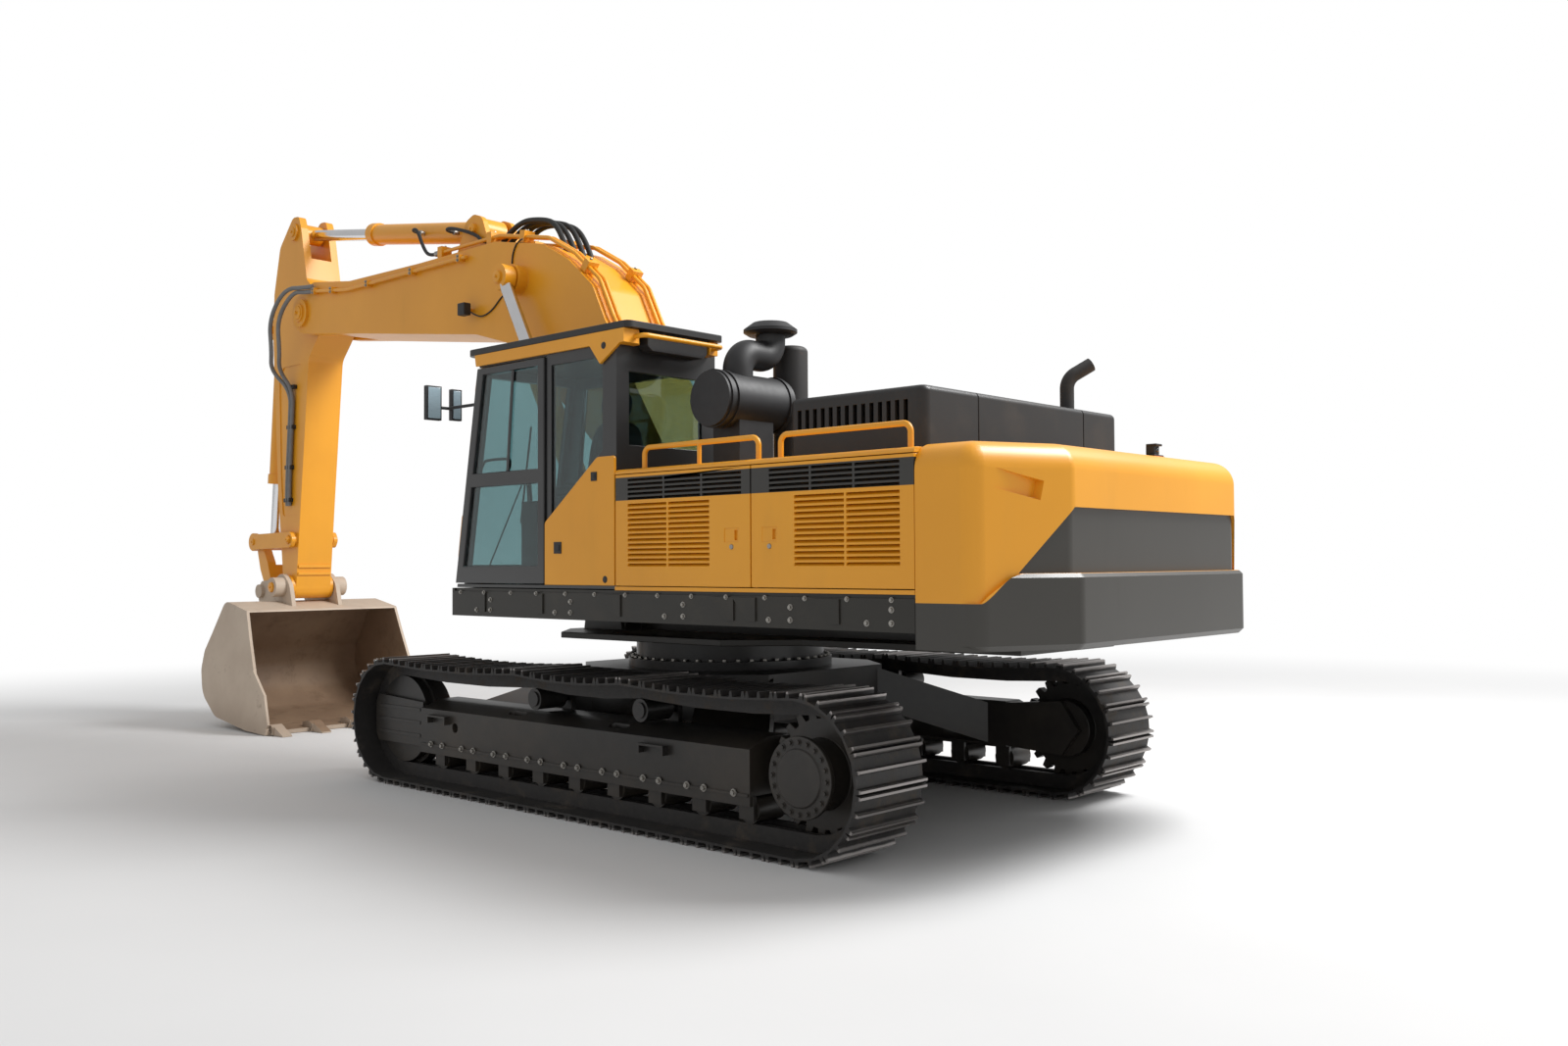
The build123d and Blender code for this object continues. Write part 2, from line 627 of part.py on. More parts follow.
def stick():
    """Box stick: ears for its cylinder on top, bracket for the bucket cylinder in front, slim tip."""
    outline = [
        (6385, 5400), (6440, 5530), (6570, 5540), (6860, 5250), (6990, 4750), (7010, 4250), (6880, 2600),
        (6745, 1560), (6690, 1345), (6470, 1345), (6440, 1560), (6350, 2500), (6200, 3950), (5930, 4220),
        (5900, 4480), (6060, 4660), (6250, 4800),
    ]
    radii = [40, 50, 100, 150, 150, 150, 300, 60, 95, 95, 60, 300, 150, 120, 120, 120, 80]
    half = stick_half_width
    body = side_profile(outline, -half, half, radii)
    # The side plates stand back a little from the flanges between the pivot and the tip
    for waist in on_both_sides(side_profile([(6420, 2250), (6330, 3150), (6290, 3800), (6380, 3900), (6760, 3900),
                                             (6860, 3800), (6810, 2700), (6760, 2250)], half - 9, half + 5,
                                            [40, 300, 60, 40, 40, 60, 300, 40])):
        body -= waist
    body -= side_profile([(6300, 5060), (6620, 5090), (6900, 5290), (6900, 5700), (6300, 5700)], -118, 118)
    body -= pivot_hole(stick_pivot, 500, 62)
    for boss in on_both_sides(cross_pin(stick_cylinder_eye, 118, half + 25, 95)):
        body += boss
    lug_outline = [(6900, 4580), (7120, 4480), (7215, 4370), (7120, 4260), (6900, 4160)]
    for lug in on_both_sides(side_profile(lug_outline, 112, 152, [0, 40, 90, 40, 0])):
        body += lug
    body += cross_pin(bucket_cylinder_base, -170, 170, 45)
    body += cross_pin(bucket_pin, -420, 420, 55)
    body += cross_pin(bucket_pin, -half - 40, half + 40, 128)
    body += cross_pin(rocker_pin, -half - 85, half + 85, 45)
    for ring in on_both_sides(cross_pin(rocker_pin, half, half + 16, 80)):
        body += ring
    # Four upright wear bars and two cross bars on the rear face above the tip
    bar_foot, bar_head = (6440, 1760), (6355, 2700)
    for i in range(4):
        y = (i - 1.5) * 96
        body += side_profile([bar_foot, (bar_foot[0] - 16, bar_foot[1]), (bar_head[0] - 16, bar_head[1]), bar_head,
                              (bar_head[0] + 60, bar_head[1]), (bar_foot[0] + 60, bar_foot[1])], y - 14, y + 14)
    for z in (1600, 1680):
        x = 6440 - (z - 1560) * 0.096
        body += block(x - 18, x + 60, -half + 10, half - 10, z, z + 30)
    return body


def cylinder_barrel(base, eye, y, barrel_r, rod_r, eye_r, eye_half, length, pin_r, neck):
    """Hydraulic barrel with its base eye, its gland and the bore that the rod slides in."""
    start = along(base, eye, neck)
    floor = along(base, eye, neck + 20)
    gland = along(base, eye, length - 110)
    end = along(base, eye, length)
    beyond = along(base, eye, length + 20)
    tube = round_bar((start[0], y, start[1]), (gland[0], y, gland[1]), barrel_r)
    head = round_bar((gland[0], y, gland[1]), (end[0], y, end[1]), barrel_r + 14)
    eye_ring = cross_pin(base, y - eye_half, y + eye_half, eye_r)
    shank = side_profile([along(base, eye, 0, eye_r * 0.8), along(base, eye, 0, -eye_r * 0.8),
                          along(base, eye, neck + 5, -eye_r * 0.7), along(base, eye, neck + 5, eye_r * 0.7)],
                         y - eye_half, y + eye_half)
    body = tube + head + eye_ring + shank
    body -= cross_pin(base, y - eye_half - 200, y + eye_half + 200, pin_r + 2)
    return body - round_bar((floor[0], y, floor[1]), (beyond[0], y, beyond[1]), rod_r + 1)


def cylinder_rod(base, eye, y, rod_r, eye_r, eye_half, tail, pin_r, pin_half):
    """Chromed rod from its tail inside the barrel to its eye, with the eye's pin."""
    length = hypot(eye[0] - base[0], eye[1] - base[1])
    start = along(base, eye, tail)
    end = along(base, eye, length - eye_r * 0.7)
    rod = round_bar((start[0], y, start[1]), (end[0], y, end[1]), rod_r)
    ring = cross_pin(eye, y - eye_half, y + eye_half, eye_r)
    pin = cross_pin(eye, y - pin_half, y + pin_half, pin_r)
    return rod + ring + pin


def rocker():
    """Two side arms from the stick to the bucket cylinder's rod eye, with pin stubs for the link."""
    arms = []
    for side in (-1, 1):
        y0 = side * (stick_half_width + 20)
        y1 = side * (stick_half_width + 70)
        low, high = min(y0, y1), max(y0, y1)
        outline = [(rocker_pin[0] - 40, rocker_pin[1] + 85), (rocker_pin[0] - 95, rocker_pin[1]),
                   (rocker_pin[0] - 40, rocker_pin[1] - 85), (rocker_end[0] + 40, rocker_end[1] - 85),
                   (rocker_end[0] + 104, rocker_end[1]), (rocker_end[0] + 40, rocker_end[1] + 85)]
        arm = side_profile(outline, low, high, [50, 60, 50, 50, 60, 50])
        arm += cross_pin(rocker_end, low, high, rocker_boss_r)
        arm -= cross_pin(rocker_pin, low - 10, high + 10, 47)
        stub_in = side * 112
        stub = cross_pin(rocker_end, min(stub_in, y1), max(stub_in, y1), 45)
        arms.append(arm + stub)
    return arms


def bucket_link():
    """Forked link from the rocker's pin down to the bucket's ears."""
    outline = [along(rocker_end, bucket_link_pin, -95, 40), along(rocker_end, bucket_link_pin, -95, -40),
               along(rocker_end, bucket_link_pin, 300, -95), along(rocker_end, bucket_link_pin, 700, -60),
               along(rocker_end, bucket_link_pin, 700, 60), along(rocker_end, bucket_link_pin, 300, 95)]
    body = side_profile(outline, -stick_half_width, stick_half_width, [35, 35, 100, 50, 50, 100])
    gap = side_profile([along(rocker_end, bucket_link_pin, -200, 300), along(rocker_end, bucket_link_pin, -200, -300),
                        along(rocker_end, bucket_link_pin, 330, -300), along(rocker_end, bucket_link_pin, 330, 300)],
                       -105, 105)
    return body - gap - pivot_hole(rocker_end, 400, 47)


def bucket():
    """Digging bucket that narrows upwards: bent shell, side plates, lip, teeth, cutters and ears."""
    wall = bucket_wall

    def narrowing(inset):
        low, high = bucket_half_width - inset, bucket_head_half_width - inset
        return cross_profile([(-low, -20), (low, -20), (high, 1340), (-high, 1340)], 5000, 7400)

    outer = [(6200, 1235), (6480, 1290), (6700, 1330), (6960, 980), (7110, 790), (7160, 590), (7090, 330),
             (6750, 110), (6040, 20), (5600, 4), (5590, 60), (5680, 340), (5930, 590), (6090, 955)]
    radii = [0, 0, 120, 150, 150, 150, 300, 300, 300, 0, 0, 90, 0, 0]
    shell = side_profile(outer, -bucket_half_width, bucket_half_width, radii) & narrowing(0)
    inner = [(6000, 1235 - 45), (6480, 1290 - 33), (6680, 1295), (6930, 962), (7080, 772), (7128, 590),
             (7062, 350), (6735, 142), (6040, 52), (5300, 42), (5300, 900)]
    inner_radii = [0, 0, 90, 120, 120, 120, 270, 270, 270, 0, 0]
    shell -= side_profile(inner, -bucket_half_width, bucket_half_width, inner_radii) & narrowing(wall)
    # Wear bars round the heel
    for y in (-620, -310, 0, 310, 620):
        shell += side_profile([(7084, 326), (7172, 590), (7122, 796), (7098, 786), (7147, 590), (7072, 336)],
                              y - 45, y + 45, [0, 130, 0, 0, 130, 0])
    ear = [(6350, 1250), (6425, 1500), (6580, 1635), (6740, 1560), (7060, 1530), (7170, 1420), (7120, 1310),
           (6960, 975), (6700, 1300)]
    for plate in on_both_sides(side_profile(ear, 246, 292, [0, 120, 130, 60, 60, 90, 60, 0, 0])):
        shell += plate
    for boss in on_both_sides(cross_pin(bucket_pin, 246, 415, 105)):
        shell += boss
    for boss in on_both_sides(cross_pin(bucket_link_pin, 235, 330, 75)):
        shell += boss
    shell -= cross_pin(bucket_pin, -500, 500, 57)
    # Side cutters on the front edges of the side plates
    cutter = [(5596, 70), (5560, 110), (5640, 400), (5880, 640), (5950, 610), (5760, 420), (5690, 330), (5650, 80)]
    for plate in on_both_sides(side_profile(cutter, bucket_half_width - 30, bucket_half_width - 4)):
        shell += plate
    # Teeth: a forked adapter over the lip and a pointed tip on its nose
    for i in range(5):
        y = (i - 2) * 420
        adapter = side_profile([(5760, 50), (5745, 96), (5620, 112), (5545, 84), (5545, 8), (5620, 2), (5700, 4)],
                               y - 62, y + 62, [0, 0, 40, 0, 0, 20, 0])
        tip = side_profile([(5546, 92), (5546, 4), (5365, 2), (5365, 14)], y - 50, y + 50)
        shell += [adapter, tip]
    return shell


# Cab

def cab_shell():
    """Hollow cab frame with cut windows, open where the door goes."""
    outline = [(cab_front_foot_x, cab_bottom_z), (cab_front_head_x, cab_top_z), (cab_rear_x, cab_top_z),
               (cab_rear_x, cab_bottom_z)]
    shell = side_profile(outline, cab_inner_y, cab_outer_y)
    w = cab_wall
    inner = [(cab_front_foot_x - w - 8, cab_bottom_z + 30), (cab_front_head_x - w, cab_top_z - w),
             (cab_rear_x + w, cab_top_z - w), (cab_rear_x + w, cab_bottom_z + 30)]
    shell -= side_profile(inner, cab_inner_y + w, cab_outer_y - w)
    door_hole = [(cab_front_foot_x + 60, 1560), (cab_front_head_x + 30, door_head_z), (door_hinge_x, door_head_z),
                 (door_hinge_x, 1560)]
    shell -= side_profile(door_hole, cab_outer_y - 60, cab_outer_y + 10)
    rear_side = [(190, 2050), (190, 3080), (-360, 3080), (-360, 2460)]
    shell -= side_profile(rear_side, cab_outer_y - 60, cab_outer_y + 10)
    shell -= side_profile([(1000, 2150), (900, 3060), (-380, 3060), (-380, 2150)], cab_inner_y - 10, cab_inner_y + 60)
    shell -= block(cab_rear_x - 10, cab_rear_x + 60, 780, 1450, 2490, 2980)
    shell -= block(900, 1400, 740, 1470, 1700, 3080)
    return shell


def cab_door():
    """Cab door frame with an upper and a lower window."""
    gap = 8
    y_in, y_out = cab_outer_y - 52, cab_outer_y + 18
    slope = (cab_front_foot_x - cab_front_head_x) / (cab_top_z - cab_bottom_z)

    def front(z):
        return cab_front_foot_x - slope * (z - cab_bottom_z)

    low, high = 1568, door_head_z - gap
    hinge = door_hinge_x + gap
    frame = side_profile([(front(low), low), (front(high), high), (hinge, high), (hinge, low)], y_in, y_out)
    upper = [(front(2370) - 75, 2370), (front(3090) - 75, 3090), (hinge + 70, 3090), (hinge + 70, 2370)]
    lower = [(front(1690) - 75, 1690), (front(2270) - 75, 2270), (hinge + 70, 2270), (hinge + 70, 1690)]
    frame -= side_profile(upper, y_in - 5, y_out + 5)
    frame -= side_profile(lower, y_in - 5, y_out + 5)
    # Upright bar of the sliding window, outside the pane
    frame += side_profile([(704, 2360), (676, 2360), (610, 3100), (638, 3100)], y_out - 19, y_out - 6)
    return frame


def cab_glass():
    """Fixed panes of the cab: windscreen, left quarter, right side and rear."""
    slope = (cab_front_foot_x - cab_front_head_x) / (cab_top_z - cab_bottom_z)

    def front(z, inset):
        return cab_front_foot_x - inset - slope * (z - cab_bottom_z)

    windscreen = side_profile([(front(1700, 14), 1700), (front(1700, 22), 1700), (front(3080, 22), 3080),
                               (front(3080, 14), 3080)], 740, 1470)
    quarter = side_profile([(190, 2050), (190, 3080), (-360, 3080), (-360, 2460)], cab_outer_y - 20, cab_outer_y - 12)
    right = side_profile([(1000, 2150), (900, 3060), (-380, 3060), (-380, 2150)], cab_inner_y + 12, cab_inner_y + 20)
    rear = block(cab_rear_x + 12, cab_rear_x + 20, 780, 1450, 2490, 2980)
    return [windscreen, quarter, right, rear]


def cab_door_glass():
    """Upper and lower panes of the cab door."""
    slope = (cab_front_foot_x - cab_front_head_x) / (cab_top_z - cab_bottom_z)

    def front(z):
        return cab_front_foot_x - slope * (z - cab_bottom_z)

    hinge = door_hinge_x + 8
    y = cab_outer_y - 10
    upper = [(front(2370) - 75, 2370), (front(3090) - 75, 3090), (hinge + 70, 3090), (hinge + 70, 2370)]
    lower = [(front(1690) - 75, 1690), (front(2270) - 75, 2270), (hinge + 70, 2270), (hinge + 70, 1690)]
    return [side_profile(upper, y, y + 8), side_profile(lower, y, y + 8)]


def cab_panel():
    """Painted lower rear quarter of the cab's left side, with its slanted upper edge."""
    outline = [(238, 1560), (238, 1990), (-325, 2412), (cab_rear_x - 2, 2412), (cab_rear_x - 2, 1560)]
    return side_profile(outline, cab_outer_y + 1, upper_half_width, [0, 30, 60, 20, 0])


def roof_guard():
    """Flat guard over the cab roof with a raised rim, standing on a low plinth, and the rear visor."""
    y_in, y_out = cab_inner_y + 40, cab_outer_y + 20
    plate = plan_profile([(-640, y_in), (-640, y_out), (1200, y_out), (1200, y_in)], 3245, 3292, [50, 50, 90, 90])
    plate -= plan_profile([(-600, y_in + 40), (-600, y_out - 40), (1150, y_out - 40), (1150, y_in + 40)], 3276, 3300,
                          [30, 30, 70, 70])
    plinth = block(-400, 1000, cab_inner_y + 120, cab_outer_y - 60, cab_top_z, 3245)
    visor = cross_profile([(820, 3245), (820, 3150), (860, 3115), (1330, 3115), (1370, 3150), (1370, 3245)], -598, -502,
                          [0, 30, 30, 30, 30, 0])
    return plate + plinth + visor


def roof_valance():
    """Painted band under the roof guard on the left, its notched rear corner and the rail across the rear."""
    y0, y1 = cab_outer_y + 1, cab_outer_y + 22
    band = side_profile([(1060, 3160), (1075, 3243), (-600, 3243), (-560, 3150), (-357, 3030), (-250, 3160)], y0, y1)
    corner = plan_profile([(-502, y1), (-600, y1), (-600, 1450), (-560, 1410), (-502, 1410)], 3150, 3243)
    rail = bent_tube([(-580, 1480, 3196), (-690, 1480, 3196), (-690, 760, 3196), (-580, 760, 3196)], 16, 40)
    foot = block(-600, -502, 720, 800, 3150, 3243)
    return band + corner + rail + foot


def seat():
    """Operator's seat with cushion, backrest, headrest, armrests and suspension base."""
    parts = block(60, 520, 880, 1340, 1620, 1900)
    cushion = block(30, 560, 860, 1360, 1900, 2030)
    back = side_profile([(60, 2030), (150, 2030), (30, 2720), (-60, 2720)], 880, 1340, [20, 20, 40, 40])
    head = side_profile([(15, 2730), (70, 2730), (50, 2930), (-20, 2930)], 980, 1240, [20, 20, 30, 30])
    arms = block(80, 420, 800, 850, 2180, 2250) + block(80, 420, 1370, 1420, 2180, 2250)
    posts = block(100, 150, 850, 880, 2100, 2250) + block(100, 150, 1340, 1370, 2100, 2250)
    link = block(0, 40, 1060, 1160, 2700, 2760)
    return parts + cushion + back + head + arms + posts + link


def console():
    """Control pods beside the seat, with joysticks, travel pedals and a blank display."""
    pods = block(150, 620, 730, 790, 1565, 2150) + block(150, 620, 1430, 1490, 1565, 2150)
    sticks = round_bar((560, 760, 2140), (580, 760, 2330), 18) + round_bar((560, 1460, 2140), (580, 1460, 2330), 18)
    display = block(930, 960, 730, 900, 2120, 2330) + round_bar((945, 780, 1565), (945, 780, 2125), 20)
    pedals = block(880, 1060, 1060, 1100, 1590, 1610) + block(880, 1060, 1180, 1220, 1590, 1610)
    pedal_stems = round_bar((1000, 1080, 1575), (980, 1080, 1900), 12) + round_bar((1000, 1200, 1575), (980, 1200, 1900), 12)
    return [pods, sticks, display, pedals + pedal_stems]


def engine():
    """Engine as one plain block under the hood."""
    return block(-2560, -1750, -600, 520, 1640, 2560)


def radiator_pack():
    """Radiator and oil cooler as one plain slab in the left housing."""
    return block(-2860, -1800, 860, 1100, 1560, 2230)


def air_cleaner():
    """Air cleaner drum across the left housing, its intake duct and the cap of the pre-cleaner."""
    x = -1100
    drum = round_bar((x, 660, 2762), (x, 1290, 2762), 180)
    for y in (690, 1180, 1240):
        drum += round_bar((x, y, 2762), (x, y + 26, 2762), 190)
    foot = block(x - 120, x + 120, 820, 1140, housing_top_z, 2640)
    duct = bent_tube([(x, 1030, 2880), (x, 1030, 3080), (x, 715, 3080), (x, 715, 3240)], 100, 112)
    cap_outline = [(0, 3190), (70, 3190), (70, 3232), (150, 3232), (182, 3252), (182, 3272), (120, 3318), (0, 3330)]
    cap = revolve(make_face(Plane.XZ * Polyline(*cap_outline, close=True)), axis=Axis.Z)
    return drum + foot + duct + Pos(x, 715, 0) * cap


def muffler():
    """Upright silencer canister beside the air cleaner."""
    canister = round_bar((-1060, 470, 2200), (-1060, 470, 3190), 120)
    canister = fillet(canister.edges().group_by(Axis.Z)[-1], 40)
    return canister + round_bar((-1060, 470, 1700), (-1060, 470, 2210), 50)


def exhaust():
    """Tail pipe on the hood, bent back at its mouth."""
    mouth = (-2620, -880, 3050)
    return bent_tube([(-2500, -760, hood_top_z), (-2500, -760, 2950), mouth], 48, 120)


def handrails():
    """Low tube rails on the left housing and the right tanks, and grab handles on the cab."""
    rails = []
    for front, rear in ((-700, -1720), (-1900, -2850)):
        path = [(front, rail_y, housing_top_z), (front, rail_y, rail_z), (rear, rail_y, rail_z),
                (rear, rail_y, housing_top_z)]
        rails.append(bent_tube(path, rail_r, 50))
    rails[0] += round_bar((-1210, rail_y, housing_top_z), (-1210, rail_y, rail_z), rail_r - 3)
    rails.append(bent_tube([(700, -1400, 2290), (700, -1400, 2640), (-200, -1400, 2640), (-200, -1400, 2290)],
                           rail_r, 60))
    # Two grab handles on the cab's front left pillar
    y = 1490
    rails.append(bent_tube([(1299, y, 1740), (1400, y, 1740), (1345, y, 2080), (1239, y, 2080)], 14, 30))
    rails.append(bent_tube([(1053, y, 3140), (1150, y, 3140), (1185, y, 2970), (1083, y, 2970)], 14, 30))
    return rails


def mirrors():
    """Two mirrors on an angled arm at the cab's front pillar."""
    bend = (1560, 1489, 2900)
    arm = round_bar((1096, 1489, 2900), bend, 12) + Pos(*bend) * Sphere(12) + round_bar(bend, (1560, 1640, 2900), 12)
    outer_head = block(1540, 1580, 1560, 1690, 2800, 3060)
    inner_head = block(1540, 1580, 1380, 1470, 2810, 3050)
    return arm + outer_head + inner_head + round_bar((1560, 1450, 2900), (1560, 1500, 2900), 12)


def right_tanks():
    """Hydraulic and fuel tanks on the right deck with their filler caps."""
    tanks = []
    for x_rear, x_front, y_out, cap_x in ((-240, 800, -1500, 300), (-1240, -260, -1540, -700)):
        tank = block(x_rear, x_front, y_out, -700, deck_top_z, 2290)
        tank = fillet(tank.edges().filter_by(Axis.Z), 45)
        tank = fillet(tank.edges().group_by(Axis.Z)[-1], 22)
        tanks.append(tank + round_bar((cap_x, -1100, 2280), (cap_x, -1100, 2330), 60))
    return tanks


def tool_box():
    """Front right tool box, stepped up to the tank, with two tread plates on its front."""
    box = side_profile([(830, deck_top_z), (1330, deck_top_z), (1330, 1720), (1210, 1830), (1060, 1960), (830, 1960)],
                       -1500, -700, [0, 0, 30, 60, 40, 0])
    treads = block(1330, deck_front_x + 20, -1460, -1160, 1600, 1612) + block(1060, 1240, -1460, -1160, 1950, 1972)
    return box + treads


def right_door():
    """Pump room door on the right side, with a louvred window."""
    y_out = upper_half_width
    door = block(deck_rear_x + 10, -1256, y_out - 40, y_out, 1560, housing_top_z - 38)
    door -= block(deck_rear_x + 40, -1290, y_out - 50, y_out - 6, 1590, housing_top_z - 66) \
        - block(-2724, -1476, y_out - 40, y_out, grille_low_z - 24, 2110)
    for front, rear in ((-1500, -2092), (-2108, -2700)):
        door -= louvres(front, rear, y_out, grille_low_z, 2086, 12)
    return mirror(door, about=Plane.XZ)


def write(node, shapes):
    """Write one node as a STEP file, moved into the row's frame."""
    if isinstance(shapes, list):
        shapes = Compound(children=[Pos(row_shift, 0, 0) * shape for shape in shapes])
    else:
        shapes = Pos(row_shift, 0, 0) * shapes
    export_step(shapes, f"parts/{node}.step")


os.makedirs("parts", exist_ok=True)

left_frame = track_frame()
left_track = Pos(0, track_y, 0) * track_loop()
left_idler = idler()
left_drive = final_drive()
centre_section = car_body()
write("car_body", centre_section)
write("car_body_legs", car_body_legs(centre_section))
write("swing_bearing", swing_bearing())
write("track_frame_left", left_frame)
write("track_frame_right", mirror(left_frame, about=Plane.XZ))
write("track_left", left_track)
write("track_right", mirror(left_track, about=Plane.XZ))
write("bottom_rollers", bottom_rollers())
write("carrier_rollers", carrier_rollers())
write("idlers", on_both_sides(left_idler))
write("final_drives", on_both_sides(left_drive))

write("revolving_frame", revolving_frame())
write("deck_left", deck(1))
write("deck_right", deck(-1))
write("counterweight", counterweight())
write("lifting_inserts", lifting_inserts())
write("left_housing", left_housing())
write("right_housing", right_housing())
write("centre_cover", centre_cover())
write("hood", hood())
write("engine", engine())
write("radiator_pack", radiator_pack())
write("air_cleaner", air_cleaner())
write("muffler", muffler())
write("exhaust", exhaust())
write("handrails", handrails())
write("right_tanks", right_tanks())
write("tool_box", tool_box())
write("cab_shell", cab_shell())
write("cab_glass", cab_glass())
write("cab_panel", cab_panel())
write("roof_guard", roof_guard())
write("roof_valance", roof_valance())
write("seat", seat())
write("console", console())
write("mirrors", mirrors())

write("cab_door", cab_door())
write("cab_door_glass", cab_door_glass())
write("left_door_front", side_door(-513, -1739, -637, -1389, -637, -1661, -1580))
write("left_door_rear", side_door(-1739, deck_rear_x, -2083, -2840, -1887, -2840, -1890))
write("right_door", right_door())
write("hood_lid", hood_lid())

main_boom = boom()
write("boom", main_boom)
write("boom_pipes", boom_pipes(main_boom))
for name, side in (("left", 1), ("right", -1)):
    y = side * boom_cylinder_y
    write(f"boom_cylinder_barrel_{name}",
          cylinder_barrel(boom_cylinder_base, boom_cylinder_eye, y, 98, 57, 120, 58, 2150, 52, 215))
    write(f"boom_cylinder_rod_{name}", cylinder_rod(boom_cylinder_base, boom_cylinder_eye, y, 57, 115, 55, 1200, 60, 62))
write("stick", stick())
write("stick_cylinder_barrel",
      cylinder_barrel(stick_cylinder_base, stick_cylinder_eye, 0, 103, 60, 115, 110, 2080, 50, 130))
write("stick_cylinder_rod", cylinder_rod(stick_cylinder_base, stick_cylinder_eye, 0, 60, 105, 95, 1300, 50, 110))
write("bucket_cylinder_barrel",
      cylinder_barrel(bucket_cylinder_base, rocker_end, 0, 100, 58, 90, 85, 1740, 45, 120))
write("bucket_cylinder_rod", cylinder_rod(bucket_cylinder_base, rocker_end, 0, 58, 92, 88, 800, 45, 98))
write("rocker", rocker())
write("bucket_link", bucket_link())
write("bucket", bucket())
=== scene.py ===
import json
from math import cos, pi, radians, sin

import bmesh
import bpy
from mathutils import Matrix, Vector
from mathutils.bvhtree import BVHTree


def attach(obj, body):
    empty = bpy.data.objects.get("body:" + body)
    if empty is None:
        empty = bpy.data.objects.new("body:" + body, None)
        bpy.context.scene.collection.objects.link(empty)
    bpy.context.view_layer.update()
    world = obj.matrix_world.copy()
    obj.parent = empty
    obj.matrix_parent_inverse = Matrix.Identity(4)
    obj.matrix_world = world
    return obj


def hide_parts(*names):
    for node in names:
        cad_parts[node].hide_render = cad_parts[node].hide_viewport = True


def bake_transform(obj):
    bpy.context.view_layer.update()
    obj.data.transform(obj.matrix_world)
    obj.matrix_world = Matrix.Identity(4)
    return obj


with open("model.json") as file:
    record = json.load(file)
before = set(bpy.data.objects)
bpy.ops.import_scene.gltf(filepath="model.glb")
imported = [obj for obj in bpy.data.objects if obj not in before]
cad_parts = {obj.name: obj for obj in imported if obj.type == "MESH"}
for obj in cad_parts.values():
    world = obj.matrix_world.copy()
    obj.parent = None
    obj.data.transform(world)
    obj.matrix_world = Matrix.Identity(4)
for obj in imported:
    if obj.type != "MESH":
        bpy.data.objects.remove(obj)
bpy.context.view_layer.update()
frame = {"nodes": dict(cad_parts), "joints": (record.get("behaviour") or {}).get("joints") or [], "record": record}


# Camera
# A standing person's eye behind the machine's left rear corner, looking forward along its left side.
# Its place is given from the swing axis, which stands off the frame's origin along X.
scene = bpy.context.scene
swing_axis = Vector(next(joint for joint in frame["joints"] if joint["name"] == "swing")["pos_m"])
eye = Vector((swing_axis.x - 7.081, 7.145, 1.703))
eye_yaw = radians(-47.625)
eye_pitch = radians(1.742)
eye_roll = radians(-0.323)
lens_mm = 30.02
sensor_mm = 36

forward = Vector((cos(eye_yaw) * cos(eye_pitch), sin(eye_yaw) * cos(eye_pitch), sin(eye_pitch)))
level_right = Vector((sin(eye_yaw), -cos(eye_yaw), 0))
level_up = level_right.cross(forward)
right = level_right * cos(eye_roll) + level_up * sin(eye_roll)
up = level_up * cos(eye_roll) - level_right * sin(eye_roll)

camera_data = bpy.data.cameras.new("camera")
camera_data.lens = lens_mm
camera_data.sensor_width = sensor_mm
camera = bpy.data.objects.new("camera", camera_data)
camera.matrix_world = Matrix((
    (right.x, up.x, -forward.x, eye.x),
    (right.y, up.y, -forward.y, eye.y),
    (right.z, up.z, -forward.z, eye.z),
    (0, 0, 0, 1),
))
scene.collection.objects.link(camera)
scene.camera = camera


# Tracks
# Two closed loops of forged triple-grouser shoes, bolted to links that run round an idler and a sprocket.
# The plates are dark and dusty, and the grouser tips are rubbed bright where they meet the ground.
class Field:
    """A socket of one material, written in sums as a number is."""

    def __init__(self, finish, socket):
        self.finish = finish
        self.socket = socket

    def maths(self, operation, *others, swap=False):
        values = [self, *others]
        if swap:
            values.reverse()
        return self.finish.node("ShaderNodeMath", {"operation": operation}, dict(enumerate(values)))

    def __add__(self, other):
        return self.maths("ADD", other)

    __radd__ = __add__

    def __sub__(self, other):
        return self.maths("SUBTRACT", other)

    def __rsub__(self, other):
        return self.maths("SUBTRACT", other, swap=True)

    def __mul__(self, other):
        return self.maths("MULTIPLY", other)

    __rmul__ = __mul__

    def __gt__(self, other):
        return self.maths("GREATER_THAN", other)

    def __lt__(self, other):
        return self.maths("LESS_THAN", other)

    def __abs__(self):
        return self.maths("ABSOLUTE")

    def at_least(self, other):
        return self.maths("MAXIMUM", other)

    def at_most(self, other):
        return self.maths("MINIMUM", other)

    def rise(self, start, end):
        """Smoothly from 0 at start to 1 at end."""
        return self.finish.node("ShaderNodeMapRange", {"interpolation_type": "SMOOTHSTEP"},
                                {"Value": self, "From Min": start, "From Max": end})


